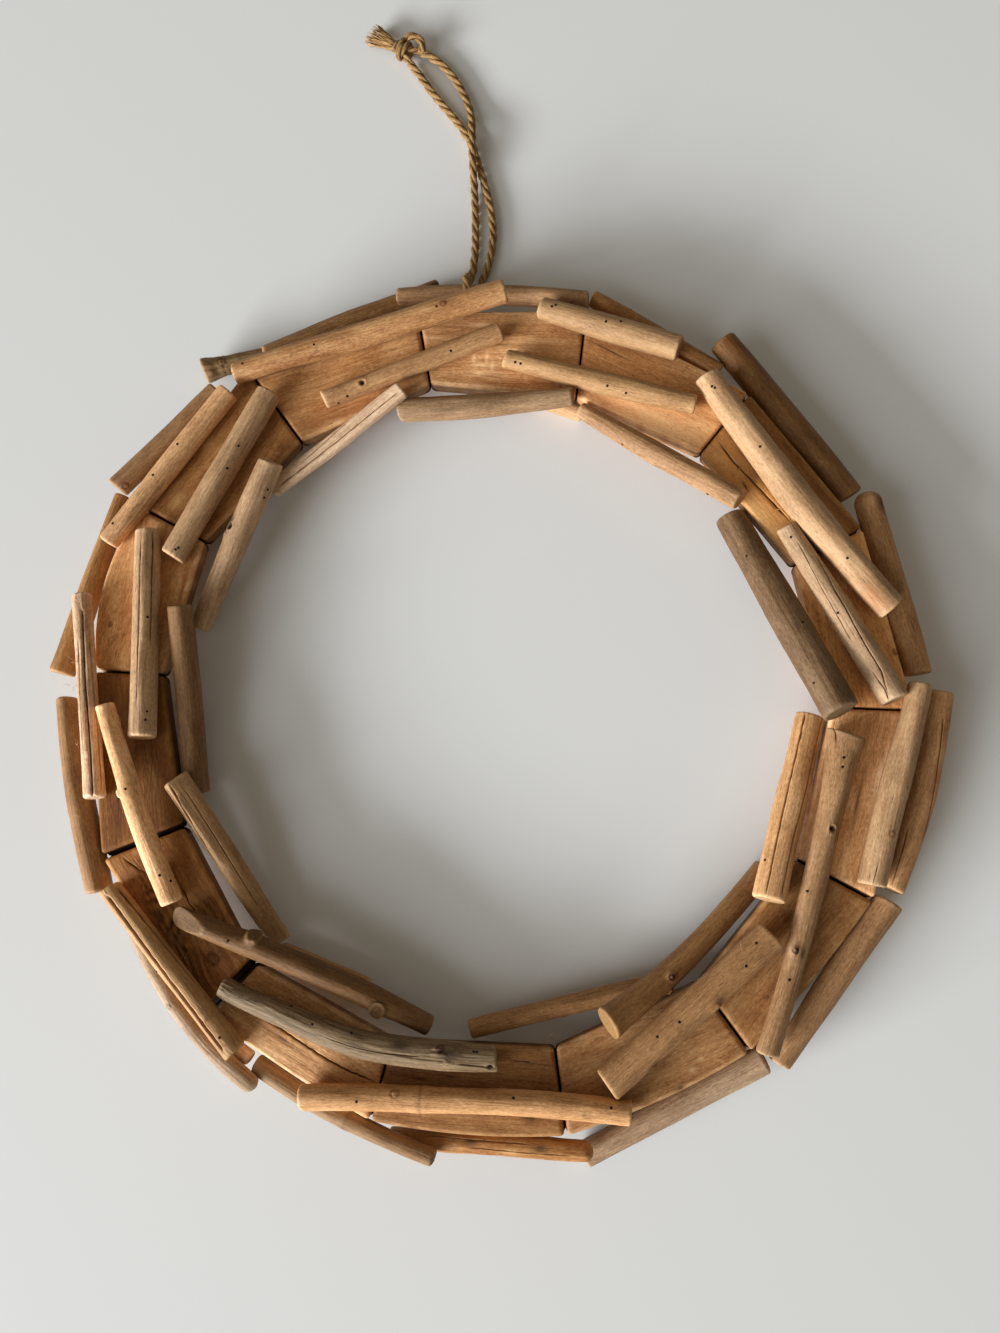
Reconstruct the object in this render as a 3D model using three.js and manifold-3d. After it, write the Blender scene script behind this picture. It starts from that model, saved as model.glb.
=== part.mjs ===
// Driftwood wreath: a ring of fourteen flat planks, with driftwood sticks nailed over its
// front and round its outer and inner edges, and a loop of jute twine to hang it by.
// Millimetres, lying on its back: +Z is the front of the wreath, +Y points to the twine.
// The lowest stick ends carry it, and hold the planks off the surface. The origin is on that
// surface, in the middle of the wood's outline.
import * as THREE from 'three';
import { mergeVertices } from 'three/addons/utils/BufferGeometryUtils.js';
import Module from 'manifold-3d';

const wasm = await Module();
wasm.setup();

// Driving dimensions
const PLANK_COUNT = 14;
const PLANK_THICKNESS = 9;
const PLANK_BACK_HEIGHT = 9;
const PLANK_EDGE_ROUNDING = 0.8;
const FIRST_JOINT_DEGREES = -10.8;
const STEP_DEGREES = 360 / PLANK_COUNT;
const TWINE_DIAMETER = 4;
const CUT_EDGE_ROUNDING = 0.8;
// The ring's middle, seen from the middle of the whole outline with all its sticks
const RING_MIDDLE = [0.327, -5.336, 0];

// A stick has this many sides, and a section at each of these shares of its length
const STICK_SIDES = 10;
const STICK_STATIONS = [0.17, 0.34, 0.5, 0.66, 0.83];

const degrees = THREE.MathUtils.degToRad;

const PLANK_COLOUR = 0xc48a52;
const PALE_STICK_COLOUR = 0xb8935f;
const SIDE_STICK_COLOUR = 0xa97f4d;
const GREY_STICK_COLOUR = 0x8f8268;
const TWINE_COLOUR = 0xa58a5c;

// The joints between planks, clockwise from the one left of the twine. Each is a saw cut
// through the ring: how far its inner and outer ends stray from the even step, in degrees,
// how far they lie from the middle, and how wide the cut stands open.
const JOINTS = [
  { stray: [-0.3, -0.2], radii: [147.5, 184.5], open: 1.0 },
  { stray: [1.0, -1.2], radii: [142.5, 185.5], open: 1.0 },
  { stray: [0.2, -0.2], radii: [144.5, 181], open: 0.8 },
  { stray: [0.5, -0.5], radii: [145.5, 180], open: 0.8 },
  { stray: [0.1, 0.1], radii: [147, 181.5], open: 1.0 },
  { stray: [0.3, 0.3], radii: [147, 181.5], open: 1.4 },
  { stray: [0, 0], radii: [148, 181.5], open: 0.9 },
  { stray: [-0.6, 0.1], radii: [148.5, 182.5], open: 1.0 },
  { stray: [-0.3, -0.3], radii: [149, 181.5], open: 0.9 },
  { stray: [-0.3, 0], radii: [149.5, 178], open: 4.0 },
  { stray: [-0.1, 0.3], radii: [143.5, 181], open: 2.2 },
  { stray: [1.3, 1.3], radii: [145, 176.5], open: 1.2 },
  { stray: [0.5, 0.5], radii: [147.5, 183], open: 1.0 },
  { stray: [-0.2, -0.2], radii: [146.5, 192], open: 1.0 },
];

// How far the middle of a plank's outer edge stands out of line, for the planks whose edge
// isn't straight
const OUTER_BULGES = { 10: 1.5, 12: 1, 13: 6.5 };

// Sticks, each group clockwise from the twine. Both ends are the middle of a sawn end, the
// three diameters are at the first end, halfway and at the last end, and bow is how far
// the middle bends outwards. A stub is what is left of a side twig, cut off short.
const FRONT_STICKS = [
  { from: [23, 178, 24.4], to: [85.5, 156.5, 24.4], diameters: [10, 12, 11.5] },
  { from: [6.5, 153.5, 23.7], to: [92, 129.5, 23.7], diameters: [8.5, 10.5, 9] },
  { from: [97, 142.5, 25.2], to: [171.5, 35.5, 25.6], diameters: [11, 14, 12], bow: -2.3 },
  { from: [129.7, 72.8, 23.3], to: [171, -3.5, 25], diameters: [9, 11, 12] },
  { from: [182, 3.5, 24], to: [157, -79, 24.5], diameters: [9.5, 12, 11] },
  { from: [150, -17.5, 25.4], to: [113.5, -145, 22.8], diameters: [14, 9.5, 8.5], bow: 2 },
  { from: [116.5, -99.5, 25], to: [50, -158, 25], diameters: [13, 13, 13] },
  { from: [59.5, -168.5, 23.6], to: [-73, -166, 23.8], diameters: [9.5, 9.5, 10], bow: -2.2 },
  { from: [6, -149, 24.2], to: [-108, -122.5, 23.6], diameters: [10.5, 11, 8], bow: 7.5,
    colour: GREY_STICK_COLOUR },
  { from: [-22, -138.5, 16.5], to: [-130, -94.5, 25.8], diameters: [8.5, 10.5, 8.5], bow: -1.5,
    stubs: [
      { along: 0.3, turn: 125, length: 8.5, diameter: 7 },
      { along: 0.74, turn: 60, length: 8.5, diameter: 8 },
    ] },
  { from: [-101, -149, 23.5], to: [-159, -84, 23.3], diameters: [10, 10, 9.5] },
  { from: [-131.5, -90, 23.2], to: [-165.5, -6.5, 27.8], diameters: [9.5, 9, 8], bow: 1.5 },
  { from: [-169, -46.5, 22.9], to: [-182.5, 44, 22.3], diameters: [9, 8.5, 8] },
  { from: [-149.5, -20.5, 24.1], to: [-153.5, 73, 24.1], diameters: [11.5, 11, 11] },
  { from: [-172.5, 68, 23], to: [-121, 139.5, 23.7], diameters: [9, 10, 10.5] },
  { from: [-141.5, 60.5, 24.2], to: [-101.5, 138.5, 24.2], diameters: [11, 11.5, 11] },
  { from: [-118.5, 148.5, 23.2], to: [7, 182, 32], diameters: [9.5, 11.5, 10.5] },
  { from: [-76.5, 135, 22.9], to: [4.5, 167, 23], diameters: [8.5, 9, 9] },
];

const OUTER_STICKS = [
  { from: [-45, 190, 15.8], to: [45, 185.3, 17.4], diameters: [8, 9, 9], bow: 2.1 },
  { from: [47, 189.2, 12.5], to: [104.8, 150.7, 12.5], diameters: [8, 9, 9] },
  { from: [106.5, 165, 14.5], to: [160.5, 89.5, 14], diameters: [12, 13, 11.5] },
  { from: [167.5, 91, 14.5], to: [184.5, 9, 15], diameters: [11.5, 12, 11.5] },
  { from: [193, 1.5, 15.5], to: [167.5, -81, 15], diameters: [11.5, 12.5, 11], bow: 2.5 },
  { from: [166.8, -86.2, 14], to: [119.8, -150.6, 13], diameters: [12, 11, 10] },
  { from: [114.5, -149, 12], to: [41, -190, 4.93], diameters: [11, 11, 10] },
  { from: [44.5, -184.5, 16], to: [-39, -185.5, 5.5], diameters: [8, 8.5, 8] },
  { from: [-19.5, -189.5, 15.5], to: [-95, -158, 9], diameters: [7, 7, 6], bow: 2.5 },
  { from: [-95, -165, 13], to: [-157, -89, 13], diameters: [7.5, 8, 6.5], bow: 7 },
  { from: [-168, -86.5, 13], to: [-190, -2, 14], diameters: [11.5, 12, 9], bow: 1.3 },
  { from: [-194, 9.5, 12.5], to: [-173.2, 94.6, 9.9], diameters: [11, 9.5, 8] },
  { from: [-172.6, 95.7, 17.5], to: [-128.4, 143, 18], diameters: [10.5, 10, 9.5] },
  { from: [-139, 157.5, 9], to: [-108, 168, 5.6], diameters: [9, 8, 7] },
  { from: [-107.9, 162.1, 13.5], to: [-27.2, 200.7, 4.67], diameters: [10.5, 11, 9.5] },
];

const INNER_STICKS = [
  { from: [40.8, 131.3, 17], to: [110.3, 85, 22.9], diameters: [7.5, 10, 10] },
  { from: [108, 81, 11.5], to: [147.5, -9, 28.4], diameters: [13, 15, 15] },
  { from: [139, -8.5, 12], to: [116, -85.5, 24.9], diameters: [12, 13, 13] },
  { from: [119.2, -73.1, 4.5], to: [50.5, -134.8, 24.8], diameters: [9.5, 10, 12.5], bow: 3,
    stubs: [{ along: 0.45, turn: 80, length: 7, diameter: 5 }] },
  { from: [77.1, -119.8, 7.5], to: [-6, -140.5, 11], diameters: [8, 8.5, 8] },
  { from: [-51.4, -127, 5.75], to: [-90.2, -112.4, 5.75], diameters: [11.5, 11.5, 11.5] },
  { from: [-88, -106.5, 9], to: [-134, -38, 23.7], diameters: [8.5, 10.5, 11] },
  { from: [-129, -43.5, 9], to: [-136.5, 38.5, 24], diameters: [11, 11, 11] },
  { from: [-132.5, 31, 10], to: [-99, 105, 24.5], diameters: [7, 10, 11] },
  { from: [-101.6, 95.8, 12], to: [-40, 139, 23.5], diameters: [8, 8.5, 8] },
  { from: [-42.5, 133.2, 15.6], to: [37.5, 135, 22.5], diameters: [8, 8.5, 8], bow: -1 },
];

// The twine runs from its knot along the surface to the wreath, once round the outer stick
// nearest the twine, and back to the knot. The points are the middle of the twine.
const TWINE_ROUTE = [
  [-44.5, 327.6, 3],
  [-40, 321.7, 2.3],
  [-33, 311.2, 2.2],
  [-25.5, 301, 2.2],
  [-18.5, 291.5, 2.2],
  [-14, 284, 2.2],
  [-10.8, 276, 2.2],
  [-8.2, 267, 2.2],
  [-5.2, 256, 2.2],
  [-2.4, 244, 2.2],
  [-1.2, 232, 2.2],
  [-2, 220, 2.2],
  [-4.6, 209.5, 2.4],
  [-6.6, 202, 4.4],
  [-8, 196, 7.6],
  [-9, 190.4, 9.3],
  [-9.6, 185.3, 11.5],
  [-10, 183.3, 16.4],
  [-10.6, 185.3, 21.5],
  [-11.4, 190.4, 23.8],
  [-12, 195.7, 21.6],
  [-12.2, 198.3, 16.2],
  [-12.2, 200.4, 10.2],
  [-11.8, 205, 4.8],
  [-10.6, 212, 2.5],
  [-9.8, 223, 2.2],
  [-9.8, 235, 2.2],
  [-10.2, 247, 2.3],
  [-10.8, 258, 3.6],
  [-11.3, 267, 6.2],
  [-11.7, 276, 6.8],
  [-12, 285, 6],
  [-12.6, 294, 3.6],
  [-15.2, 305, 2.4],
  [-20.6, 316.5, 2.2],
  [-27, 325.5, 2.3],
  [-33.5, 331, 2.8],
  [-38.8, 333.6, 3.4],
];

// The knot is a flattened ball, and the two tails together are a fan cut off square
const KNOT_MIDDLE = [-47.6, 333.6, 4.8];
const KNOT_RADII = [7.8, 6, 4.6];
const TAIL_TURN_DEGREES = 55;
const TAIL_LENGTH = 21;
const TAIL_ROOT_RADIUS = 2.8;
const TAIL_END_RADIUS = 6.2;
const TAIL_FLATNESS = 0.55;

const wreath = new THREE.Group();
wreath.name = 'driftwood_wreath';
wreath.position.set(...RING_MIDDLE);

function woodMaterial(colour) {
  return new THREE.MeshStandardMaterial({ color: colour, roughness: 0.75, metalness: 0 });
}

// Leaves only positions and joins the vertices that share a place
function closedGeometry(geometry) {
  geometry.deleteAttribute('normal');
  geometry.deleteAttribute('uv');
  return mergeVertices(geometry, 0.0001);
}

function addPiece(name, geometry, colour) {
  const finished = closedGeometry(geometry);
  finished.computeVertexNormals();
  const piece = new THREE.Mesh(finished, woodMaterial(colour));
  piece.name = name;
  wreath.add(piece);
  return piece;
}

function twoDigits(number) {
  return String(number).padStart(2, '0');
}

// One corner of a plank: a joint's end, moved off the saw cut's middle line by half its opening
function plankCorner(jointIndex, end, side) {
  const joint = JOINTS[jointIndex % PLANK_COUNT];
  const angle = degrees(FIRST_JOINT_DEGREES + jointIndex * STEP_DEGREES + joint.stray[end]);
  const radius = joint.radii[end];
  const middle = new THREE.Vector2(radius * Math.sin(angle), radius * Math.cos(angle));
  const clockwise = new THREE.Vector2(Math.cos(angle), -Math.sin(angle));
  return middle.addScaledVector(clockwise, side * joint.open / 2);
}

// Planks: sawn trapezoids that meet end to end, with the arris taken off all round
for (let index = 0; index < PLANK_COUNT; index += 1) {
  const firstJoint = index + PLANK_COUNT - 1;
  const lastJoint = index + PLANK_COUNT;
  const corners = [
    plankCorner(firstJoint, 0, 1),
    plankCorner(lastJoint, 0, -1),
    plankCorner(lastJoint, 1, -1),
    plankCorner(firstJoint, 1, 1),
  ];
  const bulge = OUTER_BULGES[index + 1];
  if (bulge) {
    const outerMiddle = corners[2].clone().add(corners[3]).multiplyScalar(0.5);
    corners.splice(3, 0, outerMiddle.setLength(outerMiddle.length() + bulge));
  }
  const plank = new THREE.ExtrudeGeometry(new THREE.Shape(corners), {
    depth: PLANK_THICKNESS - 2 * PLANK_EDGE_ROUNDING,
    bevelThickness: PLANK_EDGE_ROUNDING,
    bevelSize: PLANK_EDGE_ROUNDING,
    bevelOffset: -PLANK_EDGE_ROUNDING,
    bevelSegments: 1,
  });
  plank.translate(0, 0, PLANK_BACK_HEIGHT + PLANK_EDGE_ROUNDING);
  addPiece(`plank_${twoDigits(index + 1)}`, plank, PLANK_COLOUR);
}

// The line through the middle of a stick, bent outwards in the plane of the wreath
function stickAxis(stick) {
  const start = new THREE.Vector3(...stick.from);
  const finish = new THREE.Vector3(...stick.to);
  const middle = start.clone().add(finish).multiplyScalar(0.5);
  const run = finish.clone().sub(start);
  const outwards = new THREE.Vector3(-run.y, run.x, 0).normalize();
  if (outwards.dot(middle) < 0) outwards.negate();
  middle.addScaledVector(outwards, 2 * (stick.bow ?? 0));
  return new THREE.QuadraticBezierCurve3(start, middle, finish);
}

function stickRadius(stick, along) {
  const [first, halfway, last] = stick.diameters;
  const diameter = along < 0.5
    ? THREE.MathUtils.lerp(first, halfway, along * 2)
    : THREE.MathUtils.lerp(halfway, last, along * 2 - 1);
  return diameter / 2;
}

// A round stick with both ends sawn square and their edges worn round
function stickGeometry(stick) {
  const axis = stickAxis(stick);
  const length = axis.getLength();
  const worn = CUT_EDGE_ROUNDING / length;
  const stations = [0, worn, ...STICK_STATIONS, 1 - worn, 1];
  const rows = stations.length - 1;
  const geometry = closedGeometry(new THREE.CylinderGeometry(1, 1, 1, STICK_SIDES, rows));
  const place = geometry.attributes.position;
  const up = new THREE.Vector3(0, 0, 1);
  for (let index = 0; index < place.count; index += 1) {
    const row = Math.round((place.getY(index) + 0.5) * rows);
    const along = stations[row];
    const isEnd = row === 0 || row === rows;
    const radius = stickRadius(stick, along) - (isEnd ? CUT_EDGE_ROUNDING : 0);
    const centre = axis.getPointAt(along);
    const forwards = axis.getTangentAt(along);
    const sideways = new THREE.Vector3().crossVectors(forwards, up).normalize();
    const over = new THREE.Vector3().crossVectors(sideways, forwards);
    centre.addScaledVector(sideways, radius * place.getX(index));
    centre.addScaledVector(over, radius * place.getZ(index));
    place.setXYZ(index, centre.x, centre.y, centre.z);
  }
  return geometry;
}

// A side twig's stub: it starts in the middle of the stick and stands out of its bark.
// Its turn is measured from level, on the stick's inner side, up and over to its outer side.
function stubGeometry(stick, stub) {
  const axis = stickAxis(stick);
  const root = axis.getPointAt(stub.along);
  const forwards = axis.getTangentAt(stub.along);
  const up = new THREE.Vector3(0, 0, 1);
  const inwards = new THREE.Vector3().crossVectors(forwards, up).normalize();
  if (inwards.dot(root) > 0) inwards.negate();
  const turn = degrees(stub.turn);
  const direction = inwards.multiplyScalar(Math.cos(turn)).addScaledVector(up, Math.sin(turn));
  const rootRadius = stub.diameter / 2;
  const endRadius = rootRadius - CUT_EDGE_ROUNDING;
  const geometry = new THREE.CylinderGeometry(endRadius, rootRadius, stub.length, STICK_SIDES);
  geometry.translate(0, stub.length / 2, 0);
  const upright = new THREE.Vector3(0, 1, 0);
  geometry.applyQuaternion(new THREE.Quaternion().setFromUnitVectors(upright, direction));
  geometry.translate(root.x, root.y, root.z);
  return closedGeometry(geometry);
}

function toSolid(geometry) {
  return new wasm.Manifold(new wasm.Mesh({
    numProp: 3,
    vertProperties: new Float32Array(geometry.attributes.position.array),
    triVerts: new Uint32Array(geometry.index.array),
  }));
}

function fromSolid(solid) {
  const mesh = solid.getMesh();
  const geometry = new THREE.BufferGeometry();
  geometry.setAttribute('position', new THREE.BufferAttribute(mesh.vertProperties, 3));
  geometry.setIndex(new THREE.BufferAttribute(mesh.triVerts, 1));
  return geometry;
}

function addSticks(groupName, sticks, colour) {
  sticks.forEach((stick, index) => {
    let geometry = stickGeometry(stick);
    for (const stub of stick.stubs ?? []) {
      geometry = fromSolid(toSolid(geometry).add(toSolid(stubGeometry(stick, stub))));
    }
    addPiece(`${groupName}_${twoDigits(index + 1)}`, geometry, stick.colour ?? colour);
  });
}

addSticks('front_stick', FRONT_STICKS, PALE_STICK_COLOUR);
addSticks('outer_stick', OUTER_STICKS, SIDE_STICK_COLOUR);
addSticks('inner_stick', INNER_STICKS, SIDE_STICK_COLOUR);

// Twine: one even round cord along its route
const TWINE_SIDES = 8;
const TWINE_STEPS = 80;
const twineSection = new THREE.Shape();
for (let side = 0; side < TWINE_SIDES; side += 1) {
  const angle = (side / TWINE_SIDES) * 2 * Math.PI;
  const x = TWINE_DIAMETER / 2 * Math.cos(angle);
  const y = TWINE_DIAMETER / 2 * Math.sin(angle);
  if (side === 0) twineSection.moveTo(x, y);
  else twineSection.lineTo(x, y);
}
const twinePoints = TWINE_ROUTE.map((point) => new THREE.Vector3(...point));
const twineLine = new THREE.CatmullRomCurve3(twinePoints);
addPiece('hanging_twine', new THREE.ExtrudeGeometry(twineSection, {
  steps: TWINE_STEPS,
  extrudePath: twineLine,
}), TWINE_COLOUR);

// Knot: the overhand knot that closes the loop, with the twine's two cut tails beside it
const knotBall = new THREE.SphereGeometry(1, 12, 8);
knotBall.scale(...KNOT_RADII);
const tails = new THREE.CylinderGeometry(TAIL_END_RADIUS, TAIL_ROOT_RADIUS, TAIL_LENGTH, 12);
tails.scale(1, 1, TAIL_FLATNESS);
tails.translate(0, TAIL_LENGTH / 2, 0);
tails.rotateZ(degrees(TAIL_TURN_DEGREES));
const knotSolid = toSolid(closedGeometry(knotBall)).add(toSolid(closedGeometry(tails)));
const knot = fromSolid(knotSolid);
knot.translate(...KNOT_MIDDLE);
addPiece('twine_knot', knot, TWINE_COLOUR);

export default wreath;
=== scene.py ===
import math

import bpy
import numpy as np
from mathutils import Matrix, Vector


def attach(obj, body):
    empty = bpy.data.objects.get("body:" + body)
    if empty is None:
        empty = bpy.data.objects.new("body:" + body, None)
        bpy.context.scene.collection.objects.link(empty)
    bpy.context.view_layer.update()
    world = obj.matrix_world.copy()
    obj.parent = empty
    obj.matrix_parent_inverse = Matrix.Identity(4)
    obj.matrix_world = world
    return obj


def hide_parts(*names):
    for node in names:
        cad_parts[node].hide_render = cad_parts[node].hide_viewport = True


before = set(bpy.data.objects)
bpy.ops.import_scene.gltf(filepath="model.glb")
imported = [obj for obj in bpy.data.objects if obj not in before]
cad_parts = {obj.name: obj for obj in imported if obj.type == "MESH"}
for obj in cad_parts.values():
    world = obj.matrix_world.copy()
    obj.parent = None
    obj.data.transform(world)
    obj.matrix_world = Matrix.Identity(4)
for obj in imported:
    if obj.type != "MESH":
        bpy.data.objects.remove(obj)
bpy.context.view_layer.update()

# Viewpoint: the wreath lies on its back and the camera looks down on it from 43 cm above
# the floor, a little below its middle, through a lens as wide as a phone's. Lengths in this
# file are in millimetres from the ring's own middle, and pixels are places in the photo.
MM = 0.001
RING_MIDDLE = np.array([0.327, -5.336, 0.0])
PHOTO_WIDTH, PHOTO_HEIGHT = 1000, 1333
FOCUS_PIXELS = 963.0
EYE = np.array([29.5, -61.0, 431.4])
EYE_PITCH, EYE_ROLL = math.radians(10.0), math.radians(3.28)
SENSOR_MM = 36.0

eye_turn = Matrix.Rotation(EYE_PITCH, 3, "X") @ Matrix.Rotation(EYE_ROLL, 3, "Y")
camera_data = bpy.data.cameras.new("photo_view")
camera_data.sensor_width = SENSOR_MM
camera_data.lens = FOCUS_PIXELS / PHOTO_HEIGHT * SENSOR_MM
camera = bpy.data.objects.new("photo_view", camera_data)
camera.matrix_world = Matrix.Translation((EYE + RING_MIDDLE) * MM) @ eye_turn.to_4x4()
bpy.context.scene.collection.objects.link(camera)
bpy.context.scene.camera = camera
bpy.context.scene.view_settings.view_transform = "Standard"


def photo_pixels(places):
    """Where places on the wreath are seen in the photo."""
    seen = (np.asarray(places, float) - EYE) @ np.array(eye_turn)
    across = PHOTO_WIDTH / 2 + FOCUS_PIXELS * seen[..., 0] / -seen[..., 2]
    down = PHOTO_HEIGHT / 2 - FOCUS_PIXELS * seen[..., 1] / -seen[..., 2]
    return np.stack([across, down], axis=-1)


# Twine: jute, three plies laid up to 4 mm. It goes once round the top outer stick, and both
# legs lie on the floor up to their knot. Each leg is a cord of its own, from the hidden
# place between that stick and the plank behind it.
PLIES = 3
PLY_RADIUS, PLY_OFFSET = 1.07, 0.93
TWINE_LAY = 19.0
TWINE_SIDES, TWINE_STEP = 36, 0.8
UNEVEN_PLIES, UNEVEN_LAY, FUZZ = 0.09, 0.25, 0.035
UNDER_LEG = (
    (-10, 183.3, 16.4), (-9.6, 185.3, 11.5), (-9, 190.4, 9.3), (-8, 196, 7.6),
    (-6.6, 202, 4.4), (-4.6, 209.5, 2.4), (-2, 220, 2.2), (-1.2, 232, 2.2),
    (-2.4, 244, 2.2), (-5.2, 256, 2.2), (-8.2, 267, 2.2), (-10.8, 276, 2.2),
    (-14, 284, 2.2), (-18.5, 291.5, 2.2), (-25.5, 301, 2.2), (-33, 311.2, 2.2),
    (-40, 321.7, 2.3), (-44.5, 327.6, 3),
)
OVER_LEG = (
    (-10, 183.3, 16.4), (-10.6, 185.3, 21.5), (-11.4, 190.4, 23.8), (-12, 195.7, 21.6),
    (-12.2, 198.3, 16.2), (-12.2, 200.4, 10.2), (-11.8, 205, 4.8), (-10.6, 212, 2.5),
    (-9.8, 223, 2.2), (-9.8, 235, 2.2), (-10.2, 247, 2.3), (-10.8, 258, 3.6),
    (-11.3, 267, 6.2), (-11.7, 276, 6.8), (-12, 285, 6), (-12.6, 294, 3.6),
    (-15.2, 305, 2.4), (-20.6, 316.5, 2.2), (-27, 325.5, 2.3), (-33.5, 331, 2.8),
    (-38.8, 333.6, 3.4),
)


def even_steps(curve, count):
    """The same line, walked in equal steps, and how far along it each of them lies."""
    reached = np.concatenate([[0], np.cumsum(np.linalg.norm(np.diff(curve, axis=0), axis=1))])
    stations = np.linspace(0, reached[-1], count)
    return along_line(curve, reached, stations), stations


def along_line(curve, reached, stations):
    return np.column_stack([np.interp(stations, reached, curve[:, k]) for k in range(3)])


def smooth_line(points, step):
    """A smooth curve through the points, walked in steps of about the given length."""
    points = np.array(points, float)
    points = np.vstack([2 * points[0] - points[1], points, 2 * points[-1] - points[-2]])
    share = np.linspace(0, 1, 16, endpoint=False)[:, None]
    pieces = []
    for a, b, c, d in zip(points, points[1:], points[2:], points[3:]):
        leave, arrive = (c - a) / 2, (d - b) / 2
        squared, cubed = share ** 2, share ** 3
        pieces.append(
            b * (2 * cubed - 3 * squared + 1) + c * (3 * squared - 2 * cubed)
            + leave * (cubed - 2 * squared + share) + arrive * (cubed - squared)
        )
    curve = np.vstack(pieces + [points[-2:-1]])
    length = np.linalg.norm(np.diff(curve, axis=0), axis=1).sum()
    return even_steps(curve, max(4, round(length / step) + 1))


def unit(vectors):
    return vectors / np.maximum(np.linalg.norm(vectors, axis=-1, keepdims=True), 1e-9)


def frames_along(line):
    """For each place on a line: its direction, and two directions square to it."""
    forwards = unit(np.gradient(line, axis=0))
    side = unit(np.cross(forwards[0], [0.13, 0.09, 1.0]))
    sides = []
    for direction in forwards:
        side = unit(side - direction * (side @ direction))
        sides.append(side)
    sides = np.array(sides)
    return forwards, sides, np.cross(sides, forwards)


# The three numbers of a place's marks, and those of its wear
DARK, PALE, RED = range(3)
SAWN, TONE, WARMTH = range(3)


class Skin:
    """Closed tubes made of rings of places, gathered until they become one piece."""

    def __init__(self):
        self.places, self.faces, self.grain, self.marks, self.wear = [], [], [], [], []
        self.count = 0

    def tube(self, rings, ends, grain, marks=None, wear=None):
        """rings is (n, m, 3) and ends the two middle places. grain, marks and wear hold
        three numbers for each place, those of the two ends last."""
        n, m = rings.shape[:2]
        ring, turn = np.meshgrid(np.arange(n - 1), np.arange(m), indexing="ij")
        after = (turn + 1) % m
        walls = np.stack([
            ring * m + turn, (ring + 1) * m + turn, (ring + 1) * m + after, ring * m + after
        ], axis=-1).reshape(-1, 4)
        turn, after = np.arange(m), (np.arange(m) + 1) % m
        last = (n - 1) * m
        first_cap = np.stack([turn, after, np.full(m, n * m)], axis=-1)
        last_cap = np.stack([last + after, last + turn, np.full(m, n * m + 1)], axis=-1)
        self.add(np.vstack([rings.reshape(-1, 3), ends]), [walls, first_cap, last_cap],
                 grain, marks, wear)

    def add(self, places, faces, grain, marks=None, wear=None):
        blank = np.zeros((len(places), 3))
        self.faces += [block + self.count for block in faces]
        self.places.append(places)
        self.grain.append(grain)
        self.marks.append(blank if marks is None else marks)
        self.wear.append(blank if wear is None else wear)
        self.count += len(places)

    def piece(self, name, finish):
        mesh = bpy.data.meshes.new(name)
        places = (np.vstack(self.places) + RING_MIDDLE) * MM
        corners = np.concatenate([block.ravel() for block in self.faces])
        sizes = np.concatenate([np.full(len(b), b.shape[1]) for b in self.faces])
        mesh.vertices.add(len(places))
        mesh.vertices.foreach_set("co", places.astype(np.float32).ravel())
        mesh.loops.add(len(corners))
        mesh.loops.foreach_set("vertex_index", corners.astype(np.int32))
        mesh.polygons.add(len(sizes))
        starts = np.concatenate([[0], np.cumsum(sizes)[:-1]])
        mesh.polygons.foreach_set("loop_start", starts.astype(np.int32))
        mesh.polygons.foreach_set("use_smooth", np.ones(len(sizes), bool))
        mesh.update(calc_edges=True)
        for layer, values in (("grain", self.grain), ("marks", self.marks), ("wear", self.wear)):
            attribute = mesh.attributes.new(layer, "FLOAT_VECTOR", "POINT")
            attribute.data.foreach_set("vector", np.vstack(values).astype(np.float32).ravel())
        mesh.materials.append(finish)
        piece = bpy.data.objects.new(name, mesh)
        bpy.context.scene.collection.objects.link(piece)
        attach(piece, "root")
        return piece


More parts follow.
